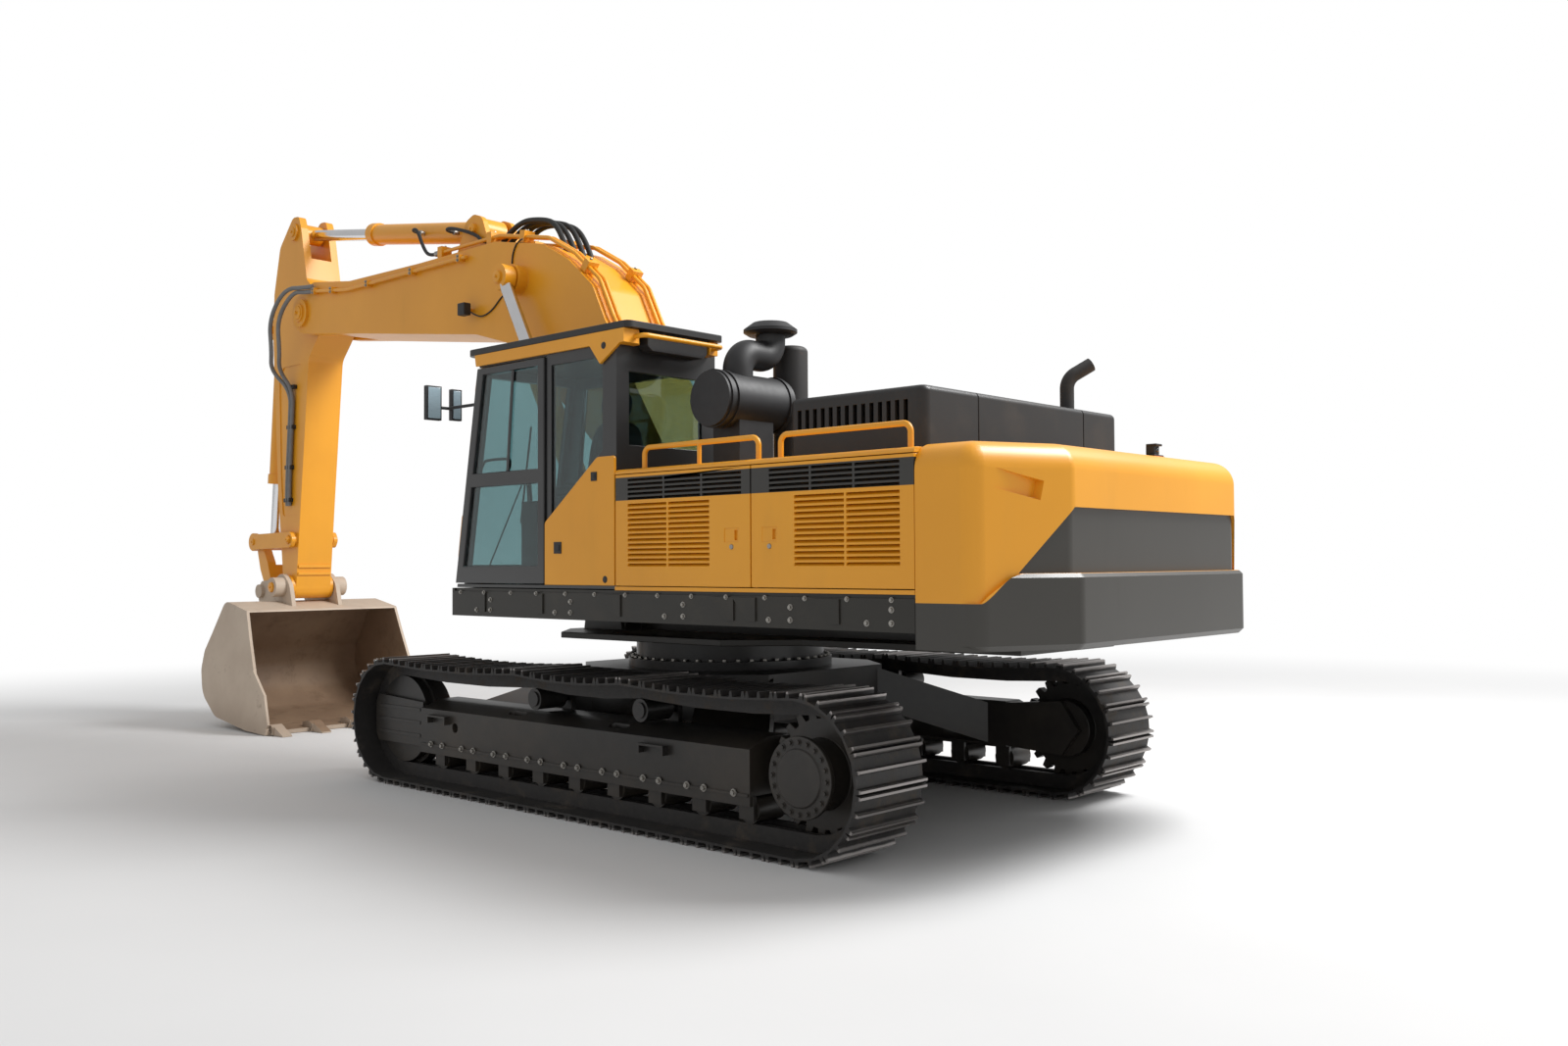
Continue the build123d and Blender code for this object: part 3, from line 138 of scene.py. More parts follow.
class Finish:
    """One node material on a Principled shader."""

    def __init__(self, name, **constants):
        self.material = bpy.data.materials.new(name)
        self.material.use_nodes = True
        self.tree = self.material.node_tree
        self.shader = self.tree.nodes["Principled BSDF"]
        self.set(**constants)

    def node(self, kind, settings, inputs, output=0):
        made = self.tree.nodes.new(kind)
        for name, value in settings.items():
            setattr(made, name, value)
        for name, value in inputs.items():
            self.feed(made.inputs[name], value)
        return Field(self, made.outputs[output])

    def feed(self, socket, value):
        if isinstance(value, Field):
            self.tree.links.new(value.socket, socket)
        else:
            socket.default_value = value

    def set(self, **inputs):
        for name, value in inputs.items():
            self.feed(self.shader.inputs[name.replace("_", " ")], value)
        return self

    def along(self, axis):
        """How far a point of the surface is along X, Y or Z, with X from the swing axis."""
        place = self.node("ShaderNodeTexCoord", {}, {}, "Object")
        part = self.node("ShaderNodeSeparateXYZ", {}, {0: place}, "XYZ".index(axis))
        return part - swing_axis.x if axis == "X" else part

    def noise(self, scale, detail=3.0, roughness=0.55, stretch=(1, 1, 1)):
        place = self.node("ShaderNodeTexCoord", {}, {}, "Object")
        where = self.node("ShaderNodeMapping", {}, {"Vector": place, "Scale": stretch})
        return self.node("ShaderNodeTexNoise", {}, {"Vector": where, "Scale": scale, "Detail": detail,
                                                    "Roughness": roughness})

    def mix(self, share, first, second):
        """From the first colour to the second: sockets 6 and 7 of a Mix node, and its output 2."""
        return self.node("ShaderNodeMix", {"data_type": "RGBA"}, {0: share, 6: first, 7: second}, 2)

    def bump(self, height, strength=0.2, distance=0.002):
        normal = self.node("ShaderNodeBump", {},
                           {"Strength": strength, "Distance": distance, "Height": height})
        return self.set(Normal=normal)


nodes = frame["nodes"]
members_of = frame["record"]["behaviour"]["bodies"]
body_of_node = {node: body for body, members in members_of.items() for node in members}
slot_of_node = {part["node"]: part["material_slot"] for part in frame["record"]["subparts"]}
same_point = 0.00005      # loose corners closer than this are one corner
flat_angle = radians(0.6)      # faces that meet at less than this are one plate
plate_edge_angle = radians(40)      # edges sharper than this are ground round


def at(x, y, z):
    """A place in metres, with X from the swing axis."""
    return Vector((x + swing_axis.x, y, z))


def finished(name, shape, body, slot, *materials, smooth=32):
    """Make a piece of a shape, smooth over its round faces and sharp at its edges."""
    for face in shape.faces:
        face.smooth = True
    for edge in shape.edges:
        edge.smooth = len(edge.link_faces) == 2 and edge.calc_face_angle(0) < radians(smooth)
    mesh = bpy.data.meshes.new(name)
    shape.to_mesh(mesh)
    shape.free()
    for material in materials:
        mesh.materials.append(material)
    piece = bpy.data.objects.new(name, mesh)
    scene.collection.objects.link(piece)
    even = piece.modifiers.new("even_shading", "WEIGHTED_NORMAL")
    even.keep_sharp = True
    if body:
        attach(piece, body)
    return piece


def dressed(name, *materials, edge=0.0, inner=None):
    """A merged copy that stands for a solid, with its edges broken by so much where asked.
    The second of two materials goes on the faces that inner picks out."""
    shape = bmesh.new()
    shape.from_mesh(nodes[name].data)
    bmesh.ops.remove_doubles(shape, verts=shape.verts, dist=same_point)
    if edge:
        bmesh.ops.dissolve_limit(shape, angle_limit=flat_angle, verts=shape.verts, edges=shape.edges)
    if inner:
        for face in shape.faces:
            face.material_index = int(inner(face))
    piece = finished(name + "_skin", shape, body_of_node[name], slot_of_node[name], *materials)
    if edge:
        rounded = piece.modifiers.new("broken_edges", "BEVEL")
        rounded.width = edge
        rounded.segments = 2
        rounded.limit_method = "ANGLE"
        rounded.angle_limit = plate_edge_angle
        piece.modifiers.move(1, 0)
    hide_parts(name)


wheel_x, wheel_z = 2.154, 0.490      # axles of idler and sprocket, before and behind the swing axis
rub_starts, rub_ends = 0.476, 0.487      # radii from an axle between which a grouser is rubbed bright
dry_earth = (0.20, 0.155, 0.11, 1)


def track_steel():
    finish = Finish("track_steel")
    x_past = (abs(finish.along("X")) - wheel_x).at_least(0)
    z_off = finish.along("Z") - wheel_z
    out = (x_past * x_past + z_off * z_off).maths("SQRT")
    rub = finish.noise(7, 4)
    polished = (out + rub * 0.012).rise(rub_starts, rub_ends)
    earth = finish.noise(5, 6, 0.7).rise(0.50, 0.74) * (1 - polished)
    steel = finish.mix(finish.noise(24, 4), (0.014, 0.013, 0.013, 1), (0.034, 0.031, 0.029, 1))
    dusty = finish.mix(earth * 0.28, steel, dry_earth)
    finish.set(Base_Color=finish.mix(polished, dusty, (0.30, 0.28, 0.27, 1)), Metallic=polished * 0.8 + 0.1,
               Roughness=earth * 0.3 + 0.55 - polished * 0.2)
    return finish.bump(finish.noise(60, 5) + earth, 0.35, 0.003).material


track_finish = track_steel()
for side in ("left", "right"):
    dressed("track_" + side, track_finish)


# Undercarriage frame, rollers and drives
# Cast and welded steel, sprayed black over everything, with dust lying on the ledges and dried earth on
# the lower parts. The drive covers are closed by a ring of bolts, the side frames by bolts at each roller.
def black_paint(name, dust_top, dust_share):
    finish = Finish(name, Coat_Roughness=0.3, Specular_IOR_Level=0.35)
    broad = finish.noise(1.7, 5, 0.6)
    low_down = 1 - finish.along("Z").rise(0.1, dust_top)
    dust = (broad.rise(0.40, 0.75) * dust_share + low_down * 0.08).at_most(0.85)
    coat = finish.mix(finish.noise(14, 3), (0.009, 0.009, 0.009, 1), (0.020, 0.019, 0.018, 1))
    finish.set(Base_Color=finish.mix(dust, coat, dry_earth), Roughness=dust * 0.4 + 0.38,
               Coat_Weight=0.25 - dust * 0.25)
    return finish.bump(finish.noise(85, 4) + dust, 0.12, 0.0015).material


def turned_to(axis):
    return Vector((0, 0, 1)).rotation_difference(Vector(axis)).to_matrix().to_4x4()


def add_bolt(shape, place, axis, size):
    """A washer and a hexagon head on it, standing on place along axis, each measured in shares of size."""
    seat = Matrix.Translation(place) @ turned_to(axis)
    for sides, radius, low, high in ((14, 0.95, 0, 0.14), (6, 0.60, 0.14, 0.66)):
        bmesh.ops.create_cone(shape, cap_ends=True, segments=sides, radius1=size * radius,
                              radius2=size * radius * 0.94, depth=size * (high - low),
                              matrix=seat @ Matrix.Translation((0, 0, size * (high + low) / 2)))


skins = {}


def seated(node, place, toward, reach=10.0):
    """Where a line from place first meets a solid's skin within reach, or None."""
    if node not in skins:
        mesh = nodes[node].data
        skins[node] = BVHTree.FromPolygons([vert.co for vert in mesh.vertices],
                                           [face.vertices for face in mesh.polygons])
    return skins[node].ray_cast(place, Vector(toward), reach)[0]


def bolt_onto(shape, node, place, axis, size, reach=10.0):
    """A bolt along axis, on the skin of a solid where a line from place comes down on it."""
    spot = seated(node, place, -Vector(axis), reach)
    if spot:
        add_bolt(shape, spot, axis, size)


def bare_steel():
    finish = Finish("bolt_steel", Metallic=0.9)
    finish.set(Base_Color=finish.mix(finish.noise(40), (0.25, 0.24, 0.22, 1), (0.42, 0.40, 0.37, 1)),
               Roughness=finish.noise(60) * 0.2 + 0.3)
    return finish.bump(finish.noise(300), 0.1, 0.0005).material


bolt_steel = bare_steel()
undercarriage_black = black_paint("undercarriage_black", 0.9, 0.13)
for name in ("car_body", "car_body_legs", "swing_bearing", "bottom_rollers", "carrier_rollers", "idlers"):
    dressed(name, undercarriage_black)
for name in ("track_frame_left", "track_frame_right", "final_drives"):
    dressed(name, undercarriage_black, edge=0.006)

outside = 1.9      # clear of either side of the machine, where a line inwards starts
cover_bolt, heavy_bolt = 0.022, 0.026
cover_bolt_count, cover_bolt_circle = 20, 0.204
cover_bolts = bmesh.new()
for side in (-1, 1):
    for i in range(cover_bolt_count):
        turn = 2 * pi * i / cover_bolt_count
        bolt_onto(cover_bolts, "final_drives",
                  at(cover_bolt_circle * cos(turn) - wheel_x, side * outside,
                     wheel_z + cover_bolt_circle * sin(turn)), (0, side, 0), cover_bolt)
finished("final_drive_cover_bolts", cover_bolts, "undercarriage", "black_paint", undercarriage_black)

roller_count, first_roller_x, roller_pitch = 9, 1.6, 0.405
roller_bolt_shift, roller_bolt_z = 0.075, 0.335
side_plate_reach = 0.50      # from outside to the side plate, and no further in
frame_bolts = bmesh.new()
for side, node in ((1, "track_frame_left"), (-1, "track_frame_right")):
    for i in range(roller_count):
        for shift in (-roller_bolt_shift, roller_bolt_shift):
            bolt_onto(frame_bolts, node,
                      at(first_roller_x - roller_pitch * i + shift, side * outside, roller_bolt_z),
                      (0, side, 0), heavy_bolt, side_plate_reach)
finished("track_frame_bolts", frame_bolts, "undercarriage", "chrome", bolt_steel)

ring_bolt_count, ring_bolt_circle, ring_top = 48, 0.745, 1.0
ring_bolts = bmesh.new()
for i in range(ring_bolt_count):
    turn = 2 * pi * (i + 0.5) / ring_bolt_count
    add_bolt(ring_bolts, at(ring_bolt_circle * cos(turn), ring_bolt_circle * sin(turn), ring_top),
             (0, 0, 1), heavy_bolt)
finished("swing_ring_bolts", ring_bolts, "undercarriage", "chrome", bolt_steel)


# Revolving frame and decks
# Welded plate in dark grey-brown enamel. Dust lies on the walkways, and the deck's side beam shows the
# heads of the bolts that hold the walkway brackets.
def grey_paint(name, tint=(0.017, 0.0155, 0.012)):
    finish = Finish(name, Coat_Roughness=0.3, Specular_IOR_Level=0.35)
    tone = finish.noise(1.1, 4)
    dust = (finish.noise(2.6, 6, 0.65).rise(0.46, 0.8) * 0.10).at_most(0.8)
    dark = (*tint, 1)
    pale = (*(1.6 * part for part in tint), 1)
    coat = finish.mix(tone, dark, pale)
    finish.set(Base_Color=finish.mix(dust, coat, dry_earth), Roughness=dust * 0.35 + 0.42,
               Coat_Weight=0.15 - dust * 0.15)
    return finish.bump(finish.noise(120, 2), 0.05, 0.0008).material


deck_grey = grey_paint("deck_grey")
for name in ("revolving_frame", "deck_left", "deck_right"):
    dressed(name, deck_grey, edge=0.005)

plate_bolt_count, plate_bolt_circle = 44, 0.80
above_ring, plate_reach = 1.02, 0.28      # start and length of a line up to the frame's bottom plate
plate_bolts = bmesh.new()
for i in range(plate_bolt_count):
    turn = 2 * pi * i / plate_bolt_count
    bolt_onto(plate_bolts, "revolving_frame",
              at(plate_bolt_circle * cos(turn), plate_bolt_circle * sin(turn), above_ring),
              (0, 0, -1), heavy_bolt, plate_reach)
finished("revolving_frame_bolts", plate_bolts, "upper", "chrome", bolt_steel)

deck_reach = 0.40      # from outside to the deck's side beam, and no further in
upper_bolt, bracket_bolt = 0.017, 0.020
upper_bolt_count, upper_bolt_pitch, upper_bolt_z = 14, 0.31, 1.50
deck_rear_x = -2.78
bracket_xs = (0.873, -0.047, -1.156, -2.05, deck_rear_x)
bracket_bolt_places = ((0, 1.375), (0, 1.448), (0.17, 1.372))      # shift along X from a bracket, and height
deck_bolts = bmesh.new()
for side, node in ((1, "deck_left"), (-1, "deck_right")):
    for i in range(upper_bolt_count):
        bolt_onto(deck_bolts, node, at(deck_rear_x + upper_bolt_pitch * i, side * outside, upper_bolt_z),
                  (0, side, 0), upper_bolt, deck_reach)
    for x in bracket_xs:
        for shift, z in bracket_bolt_places:
            bolt_onto(deck_bolts, node, at(x + shift, side * outside, z), (0, side, 0), bracket_bolt,
                      deck_reach)
finished("deck_side_bolts", deck_bolts, "upper", "chrome", bolt_steel)


# Counterweight
# One iron casting, smooth-filled and painted amber above and dark grey-brown below, with a sunk dark panel
# across the rear. The division runs along the casting's step, and rises to the ledge round the corner.
def amber_shades(finish):
    """Amber enamel: the same pigment a little deeper in broad drifts, and dust that has run down it."""
    drift = finish.noise(0.8, 4, 0.5)
    clean = finish.mix(drift.rise(0.35, 0.7), (0.80, 0.335, 0.008, 1), (0.87, 0.375, 0.012, 1))
    streaks = finish.noise(3.0, 5, 0.6, (1, 1, 0.22)).rise(0.50, 0.82)
    low_down = 1 - finish.along("Z").rise(1.4, 2.3)
    dust = (streaks * 0.12 + low_down * 0.06).at_most(0.6)
    return finish.mix(dust, clean, (0.42, 0.23, 0.05, 1)), dust


def amber_gloss(finish, colour, dust):
    chips = finish.noise(46, 6, 0.7).rise(0.705, 0.725) * finish.noise(2.2, 3).rise(0.52, 0.66)
    finish.set(Base_Color=finish.mix(chips * 0.8, colour, (0.10, 0.075, 0.05, 1)),
               Roughness=dust * 0.5 + 0.40 + chips * 0.3, Coat_Weight=0.22 - dust * 0.2)
    return finish.bump(finish.noise(140, 2) - chips * 2, 0.05, 0.0008).material


def counterweight_paint():
    finish = Finish("counterweight_paint", Coat_Roughness=0.28)
    amber, dust = amber_shades(finish)
    x, z = finish.along("X"), finish.along("Z")
    beside = abs(finish.along("Y"))
    low_division, ledge_rise = 1.488, 0.152
    ledge_starts, ledge_run = -3.33, 0.11
    division = (ledge_starts - x).rise(0.0, ledge_run) * ledge_rise + low_division
    below = (division - z).rise(-0.001, 0.003)
    panel_low, panel_high, panel_front = 1.64, 1.99, -3.2
    panel_half_width, panel_slant = 1.33, 0.94
    slant = panel_half_width - (z - panel_low) * panel_slant
    panel = ((slant - beside).rise(-0.001, 0.004) * (z > panel_low) * (z < panel_high)
             * (x < panel_front))
    dark = finish.mix(finish.noise(1.3, 4), (0.026, 0.024, 0.019, 1), (0.040, 0.036, 0.029, 1))
    return amber_gloss(finish, finish.mix(below.at_least(panel), amber, dark), dust)


dressed("counterweight", counterweight_paint(), edge=0.008)
lifting_black = black_paint("lifting_black", 0.2, 0.1)
dressed("lifting_inserts", lifting_black)


# Rear camera
# A small moulded camera at the top edge of the counterweight, looking back. Its black case stands on a flat
# foot, screwed down over an orange gasket.
def add_block(shape, low, high, radius):
    """A block between two corners with rounded edges."""
    low, high = Vector(low), Vector(high)
    middle, size = (low + high) / 2, high - low
    made = bmesh.ops.create_cube(shape, size=1,
                                 matrix=Matrix.Translation(middle) @ Matrix.Diagonal((*size, 1)))
    edges = list({edge for vert in made["verts"] for edge in vert.link_edges})
    bmesh.ops.bevel(shape, geom=edges, offset=radius, segments=3, profile=0.5, affect="EDGES",
                    material=-1)


def moulded_plastic(name, colour):
    finish = Finish(name)
    pale = tuple(min(1, c * 1.5 + 0.004) for c in colour[:3]) + (1,)
    finish.set(Base_Color=finish.mix(finish.noise(9, 4), colour, pale),
               Roughness=finish.noise(20) * 0.15 + 0.45)
    return finish.bump(finish.noise(400, 2), 0.08, 0.0004).material


def lens_glass(name, colour):
    finish = Finish(name, IOR=1.5, Coat_Weight=1.0, Coat_Roughness=0.03)
    ribs = finish.noise(160, 2, 0.5, (1, 0.1, 1))
    finish.set(Base_Color=finish.mix(ribs, colour, tuple(c * 0.8 for c in colour[:3]) + (1,)),
               Roughness=ribs * 0.08 + 0.08)
    return finish.bump(ribs, 0.1, 0.001).material


black_moulding = moulded_plastic("black_moulding", (0.012, 0.012, 0.013, 1))
clear_lens = lens_glass("lamp_lens", (0.62, 0.66, 0.68, 1))
dark_lens = lens_glass("camera_lens", (0.01, 0.012, 0.016, 1))

camera_y = -0.30
camera_body = bmesh.new()
add_block(camera_body, at(-3.40, camera_y - 0.06, 2.340), at(-3.31, camera_y + 0.06, 2.350), 0.004)
add_block(camera_body, at(-3.385, camera_y - 0.035, 2.349), at(-3.325, camera_y + 0.035, 2.412), 0.010)
add_block(camera_body, at(-3.40, camera_y - 0.04, 2.404), at(-3.33, camera_y + 0.04, 2.418), 0.004)
finished("rear_camera", camera_body, "upper", "black_plastic", black_moulding)
camera_foot = bmesh.new()
add_block(camera_foot, at(-3.405, camera_y - 0.065, 2.333), at(-3.305, camera_y + 0.065, 2.341), 0.003)
finished("rear_camera_gasket", camera_foot, "upper", "black_plastic",
         moulded_plastic("orange_gasket", (0.60, 0.10, 0.015, 1)))
camera_eye = bmesh.new()
bmesh.ops.create_uvsphere(camera_eye, u_segments=24, v_segments=12, radius=0.018,
                          matrix=Matrix.Translation(at(-3.378, camera_y, 2.380)))
finished("rear_camera_lens", camera_eye, "upper", "glass", dark_lens)


# Side doors and engine housings
# Pressed steel doors in amber enamel, hung on the housings behind them and locked by a turned barrel each.
# A dark grey stripe runs along the doors, over the louvres.
def door_paint():
    finish = Finish("striped_door_paint", Coat_Roughness=0.28)
    amber, dust = amber_shades(finish)
    z, beside = finish.along("Z"), abs(finish.along("Y"))
    stripe_low, stripe_high, door_face = 2.112, 2.262, 1.545
    stripe = ((z - stripe_low).rise(-0.001, 0.002) * (stripe_high - z).rise(-0.001, 0.002)
              * (beside > door_face))
    dark = finish.mix(finish.noise(1.3, 4), (0.020, 0.018, 0.015, 1), (0.032, 0.029, 0.024, 1))
    return amber_gloss(finish, finish.mix(stripe, amber, dark), dust)


def amber_paint():
    finish = Finish("amber_paint", Coat_Roughness=0.28)
    return amber_gloss(finish, *amber_shades(finish))


striped = door_paint()
amber = amber_paint()
panel_grey = grey_paint("panel_grey")
for name in ("left_door_front", "left_door_rear", "right_door"):
    dressed(name, striped, edge=0.004)
for name in ("left_housing", "right_housing", "centre_cover"):
    dressed(name, amber if slot_of_node[name] == "yellow_paint" else panel_grey, edge=0.005)

lock_z, lock_radius, lock_depth = 1.80, 0.016, 0.006
door_locks = bmesh.new()
for node, x in (("left_door_front", -1.58), ("left_door_rear", -1.89)):
    spot = seated(node, at(x, outside, lock_z), (0, -1, 0))
    if spot:
        seat = Matrix.Translation(spot + Vector((0, lock_depth / 2, 0))) @ turned_to((0, 1, 0))
        bmesh.ops.create_cone(door_locks, cap_ends=True, segments=24, radius1=lock_radius,
                              radius2=lock_radius * 0.85, depth=lock_depth, matrix=seat)
finished("door_lock_barrels", door_locks, "upper", "chrome", bolt_steel)


# Hood, tanks and tool box
# The engine hood is pressed steel in dark grey, slotted at its sides, with a lid hinged on its top. The
# tanks and the tool box on the right are folded and welded plate.
hood_grey = grey_paint("hood_grey", (0.016, 0.016, 0.0165))
dressed("hood", hood_grey, edge=0.004)
dressed("hood_lid", hood_grey, edge=0.004)
paint_of_slot = {"yellow_paint": amber, "grey_paint": panel_grey}
for name in ("right_tanks", "tool_box"):
    dressed(name, paint_of_slot.get(slot_of_node[name], undercarriage_black), edge=0.005)


# Engine, radiator, silencer and air cleaner
# The engine block and the cooler stand in black behind the louvres. The silencer and its tail pipe are
# sooty black steel, and the air cleaner is a black moulded drum with steel clamps.
def sooty_black():
    finish = Finish("heat_black")
    soot = finish.noise(6, 5, 0.6)
    rust = finish.noise(13, 5, 0.7).rise(0.58, 0.72)
    coat = finish.mix(soot, (0.012, 0.011, 0.011, 1), (0.035, 0.032, 0.030, 1))
    finish.set(Base_Color=finish.mix(rust * 0.35, coat, (0.12, 0.055, 0.03, 1)),
               Roughness=soot * 0.25 + 0.5)
    return finish.bump(finish.noise(90, 4), 0.15, 0.001).material


heat_black = sooty_black()
for name in ("engine", "radiator_pack", "muffler", "exhaust"):
    dressed(name, heat_black)
dressed("air_cleaner", black_moulding)
dressed("handrails", amber)


# Cab
# A black welded steel frame round tinted panes, with an amber panel at the lower rear and an amber band
# under the roof guard. Two mirrors on an arm and a wiper stand in front of the windscreen.
def tinted_glass():
    finish = Finish("tinted_glass", Transmission_Weight=1.0, IOR=1.45, Coat_Weight=0.3)
    film = finish.noise(1.5, 4)
    finish.set(Base_Color=finish.mix(film, (0.27, 0.42, 0.43, 1), (0.34, 0.49, 0.50, 1)),
               Roughness=film * 0.03)
    return finish.material


def cab_black_paint():
    finish = Finish("cab_black", Coat_Roughness=0.15)
    tone = finish.noise(2.4, 4)
    finish.set(Base_Color=finish.mix(tone, (0.014, 0.014, 0.015, 1), (0.026, 0.026, 0.026, 1)),
               Roughness=tone * 0.15 + 0.28, Coat_Weight=tone * 0.2 + 0.3)
    return finish.bump(finish.noise(150, 2), 0.04, 0.0006).material


pane = tinted_glass()
cab_black = cab_black_paint()
dressed("cab_shell", cab_black, edge=0.006)
dressed("cab_door", cab_black, edge=0.006)
dressed("cab_panel", amber, edge=0.004)
dressed("cab_glass", pane)
dressed("cab_door_glass", pane)
dressed("roof_guard", hood_grey, edge=0.004)
dressed("roof_valance", amber, edge=0.003)
dressed("console", black_moulding, edge=0.004)
dressed("mirrors", black_moulding, edge=0.012)

mirror_glass = lens_glass("mirror_glass", (0.42, 0.55, 0.62, 1))
mirror_back, mirror_front = 1.534, 1.541
mirror_faces = bmesh.new()
for low_y, high_y, low_z, high_z in ((1.572, 1.678, 2.812, 3.048), (1.392, 1.458, 2.822, 3.038)):
    add_block(mirror_faces, at(mirror_back, low_y, low_z), at(mirror_front, high_y, high_z), 0.003)
finished("mirror_faces", mirror_faces, "upper", "glass", mirror_glass)

windscreen_foot_x, windscreen_foot_z = 1.330, 1.535
windscreen_slope = 0.290 / 1.655
windscreen_sunk = 0.008


def before_windscreen(y, z, off):
    """A place so far off the leaning windscreen."""
    lean = windscreen_slope * (z - windscreen_foot_z)
    return at(windscreen_foot_x - lean - windscreen_sunk + off, y, z)


def add_bar(shape, start, end, width, depth):
    """A flat bar with rounded edges from start to end."""
    run = end - start
    seat = Matrix.Translation((start + end) / 2) @ run.to_track_quat("Z", "Y").to_matrix().to_4x4()
    made = bmesh.ops.create_cube(shape, size=1,
                                 matrix=seat @ Matrix.Diagonal((width, depth, run.length, 1)))
    edges = list({edge for vert in made["verts"] for edge in vert.link_edges})
    bmesh.ops.bevel(shape, geom=edges, offset=min(width, depth) * 0.25, segments=2, profile=0.5,
                    affect="EDGES", material=-1)


wiper_y, wiper_foot_z = 1.04, 1.64
wiper = bmesh.new()
add_bar(wiper, before_windscreen(1.30, wiper_foot_z, 0.018), before_windscreen(wiper_y, 2.38, 0.018),
        0.016, 0.010)
add_bar(wiper, before_windscreen(wiper_y, 2.02, 0.008), before_windscreen(wiper_y, 2.76, 0.008),
        0.010, 0.016)
wiper_foot = before_windscreen(1.30, wiper_foot_z, 0.010)
add_block(wiper, wiper_foot - Vector((0.020, 0.03, 0.03)), wiper_foot + Vector((0.020, 0.03, 0.03)), 0.008)
finished("windscreen_wiper", wiper, "upper", "black_plastic", black_moulding)


# Cab lamps
# Two square work lamps hang on brackets under the front edge of the roof guard. Each is a moulded black
# case with a ribbed clear lens.
lamp_cases = bmesh.new()
lamp_lenses = bmesh.new()
for y in (0.86, 1.36):
    add_block(lamp_cases, at(1.075, y - 0.060, 3.105), at(1.150, y + 0.060, 3.215), 0.012)
    add_block(lamp_cases, at(1.095, y - 0.020, 3.205), at(1.125, y + 0.020, 3.250), 0.004)
    add_block(lamp_lenses, at(1.146, y - 0.050, 3.115), at(1.158, y + 0.050, 3.205), 0.005)
finished("cab_lamp_cases", lamp_cases, "upper", "black_plastic", black_moulding)
finished("cab_lamp_lenses", lamp_lenses, "upper", "glass", clear_lens)


# Seat
# A sprung seat trimmed in dark woven cloth: a crowned cushion, a backrest and a headrest, with moulded
# armrests on a plain base.
def woven_cloth():
    finish = Finish("seat_cloth", Sheen_Weight=0.3)
    warp = finish.noise(900, 1, 0.5, (1, 0.15, 1))
    weft = finish.noise(900, 1, 0.5, (0.15, 1, 1))
    cloth = finish.mix(warp * weft, (0.012, 0.012, 0.014, 1), (0.06, 0.06, 0.065, 1))
    finish.set(Base_Color=cloth, Roughness=warp * 0.1 + 0.8)
    return finish.bump(warp + weft, 0.3, 0.0006).material


seat_cloth = woven_cloth()


def pad(name, low, high, lean=0.0):
    """A crowned pad between two corners, its sides drawn in between them, leaning back with height."""
    shape = bmesh.new()
    low, high = Vector(low), Vector(high)
    middle, size = (low + high) / 2, high - low
    bmesh.ops.create_cube(shape, size=2)
    bmesh.ops.subdivide_edges(shape, edges=shape.edges, cuts=7, use_grid_fill=True)
    for vert in shape.verts:
        u, v, w = vert.co
        pull = 1 - 0.07 * (1 - u * u) * abs(v) - 0.07 * (1 - v * v) * abs(u)
        corner = 1 - 0.10 * (abs(u * v) ** 4 + abs(v * w) ** 4 + abs(u * w) ** 4)
        crown = 1 - 0.20 * (u * u + v * v) / 2
        spot = Vector((u * size.x * pull, v * size.y * pull, w * size.z * crown)) * corner / 2
        vert.co = middle + spot - Vector((lean * spot.z, 0, 0))
    bmesh.ops.smooth_vert(shape, verts=shape.verts, factor=0.4, use_axis_x=True, use_axis_y=True,
                          use_axis_z=True)
    piece = finished(name, shape, "upper", "fabric", seat_cloth, smooth=80)


seat_frame = bmesh.new()
add_block(seat_frame, at(0.06, 0.88, 1.62), at(0.52, 1.34, 1.905), 0.02)
for low_y, high_y, post_low, post_high in ((0.80, 0.85, 0.848, 0.88), (1.37, 1.42, 1.34, 1.372)):
    add_block(seat_frame, at(0.08, low_y, 2.18), at(0.42, high_y, 2.25), 0.018)
    add_block(seat_frame, at(0.10, post_low, 2.10), at(0.15, post_high, 2.24), 0.008)
add_block(seat_frame, at(0.00, 1.06, 2.68), at(0.04, 1.16, 2.78), 0.008)
add_block(seat_frame, at(0.06, 0.90, 1.99), at(0.12, 1.32, 2.15), 0.01)
frame_piece = finished("seat_frame", seat_frame, "upper", "fabric", black_moulding)
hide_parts("seat")
pad("seat_cushion", at(0.04, 0.865, 1.900), at(0.555, 1.355, 2.030))
pad("seat_backrest", at(-0.005, 0.885, 2.035), at(0.095, 1.335, 2.715), lean=0.17)
pad("seat_headrest", at(-0.010, 0.985, 2.735), at(0.055, 1.235, 2.925), lean=0.16)


# Cab fittings
# Two square black paddle latches sit in the amber panel, over a round rubber plug, and a like plug closes
# the corner of the roof band. Inside, a bent steel hand rail runs across the window.
fittings = bmesh.new()
for x, z, half in ((-0.298, 2.284, 0.030), (0.089, 1.814, 0.040)):
    spot = seated("cab_panel", at(x, outside, z), (0, -1, 0))
    if spot:
        add_block(fittings, spot + Vector((-half, -0.004, -half)),
                  spot + Vector((half, 0.006, half)), 0.003)
        add_block(fittings, spot + Vector((-half * 0.6, 0, -half * 0.5)),
                  spot + Vector((half * 0.3, 0.011, half * 0.5)), 0.003)


same_spun_point = 0.00002      # spun or drawn corners closer than this are one corner


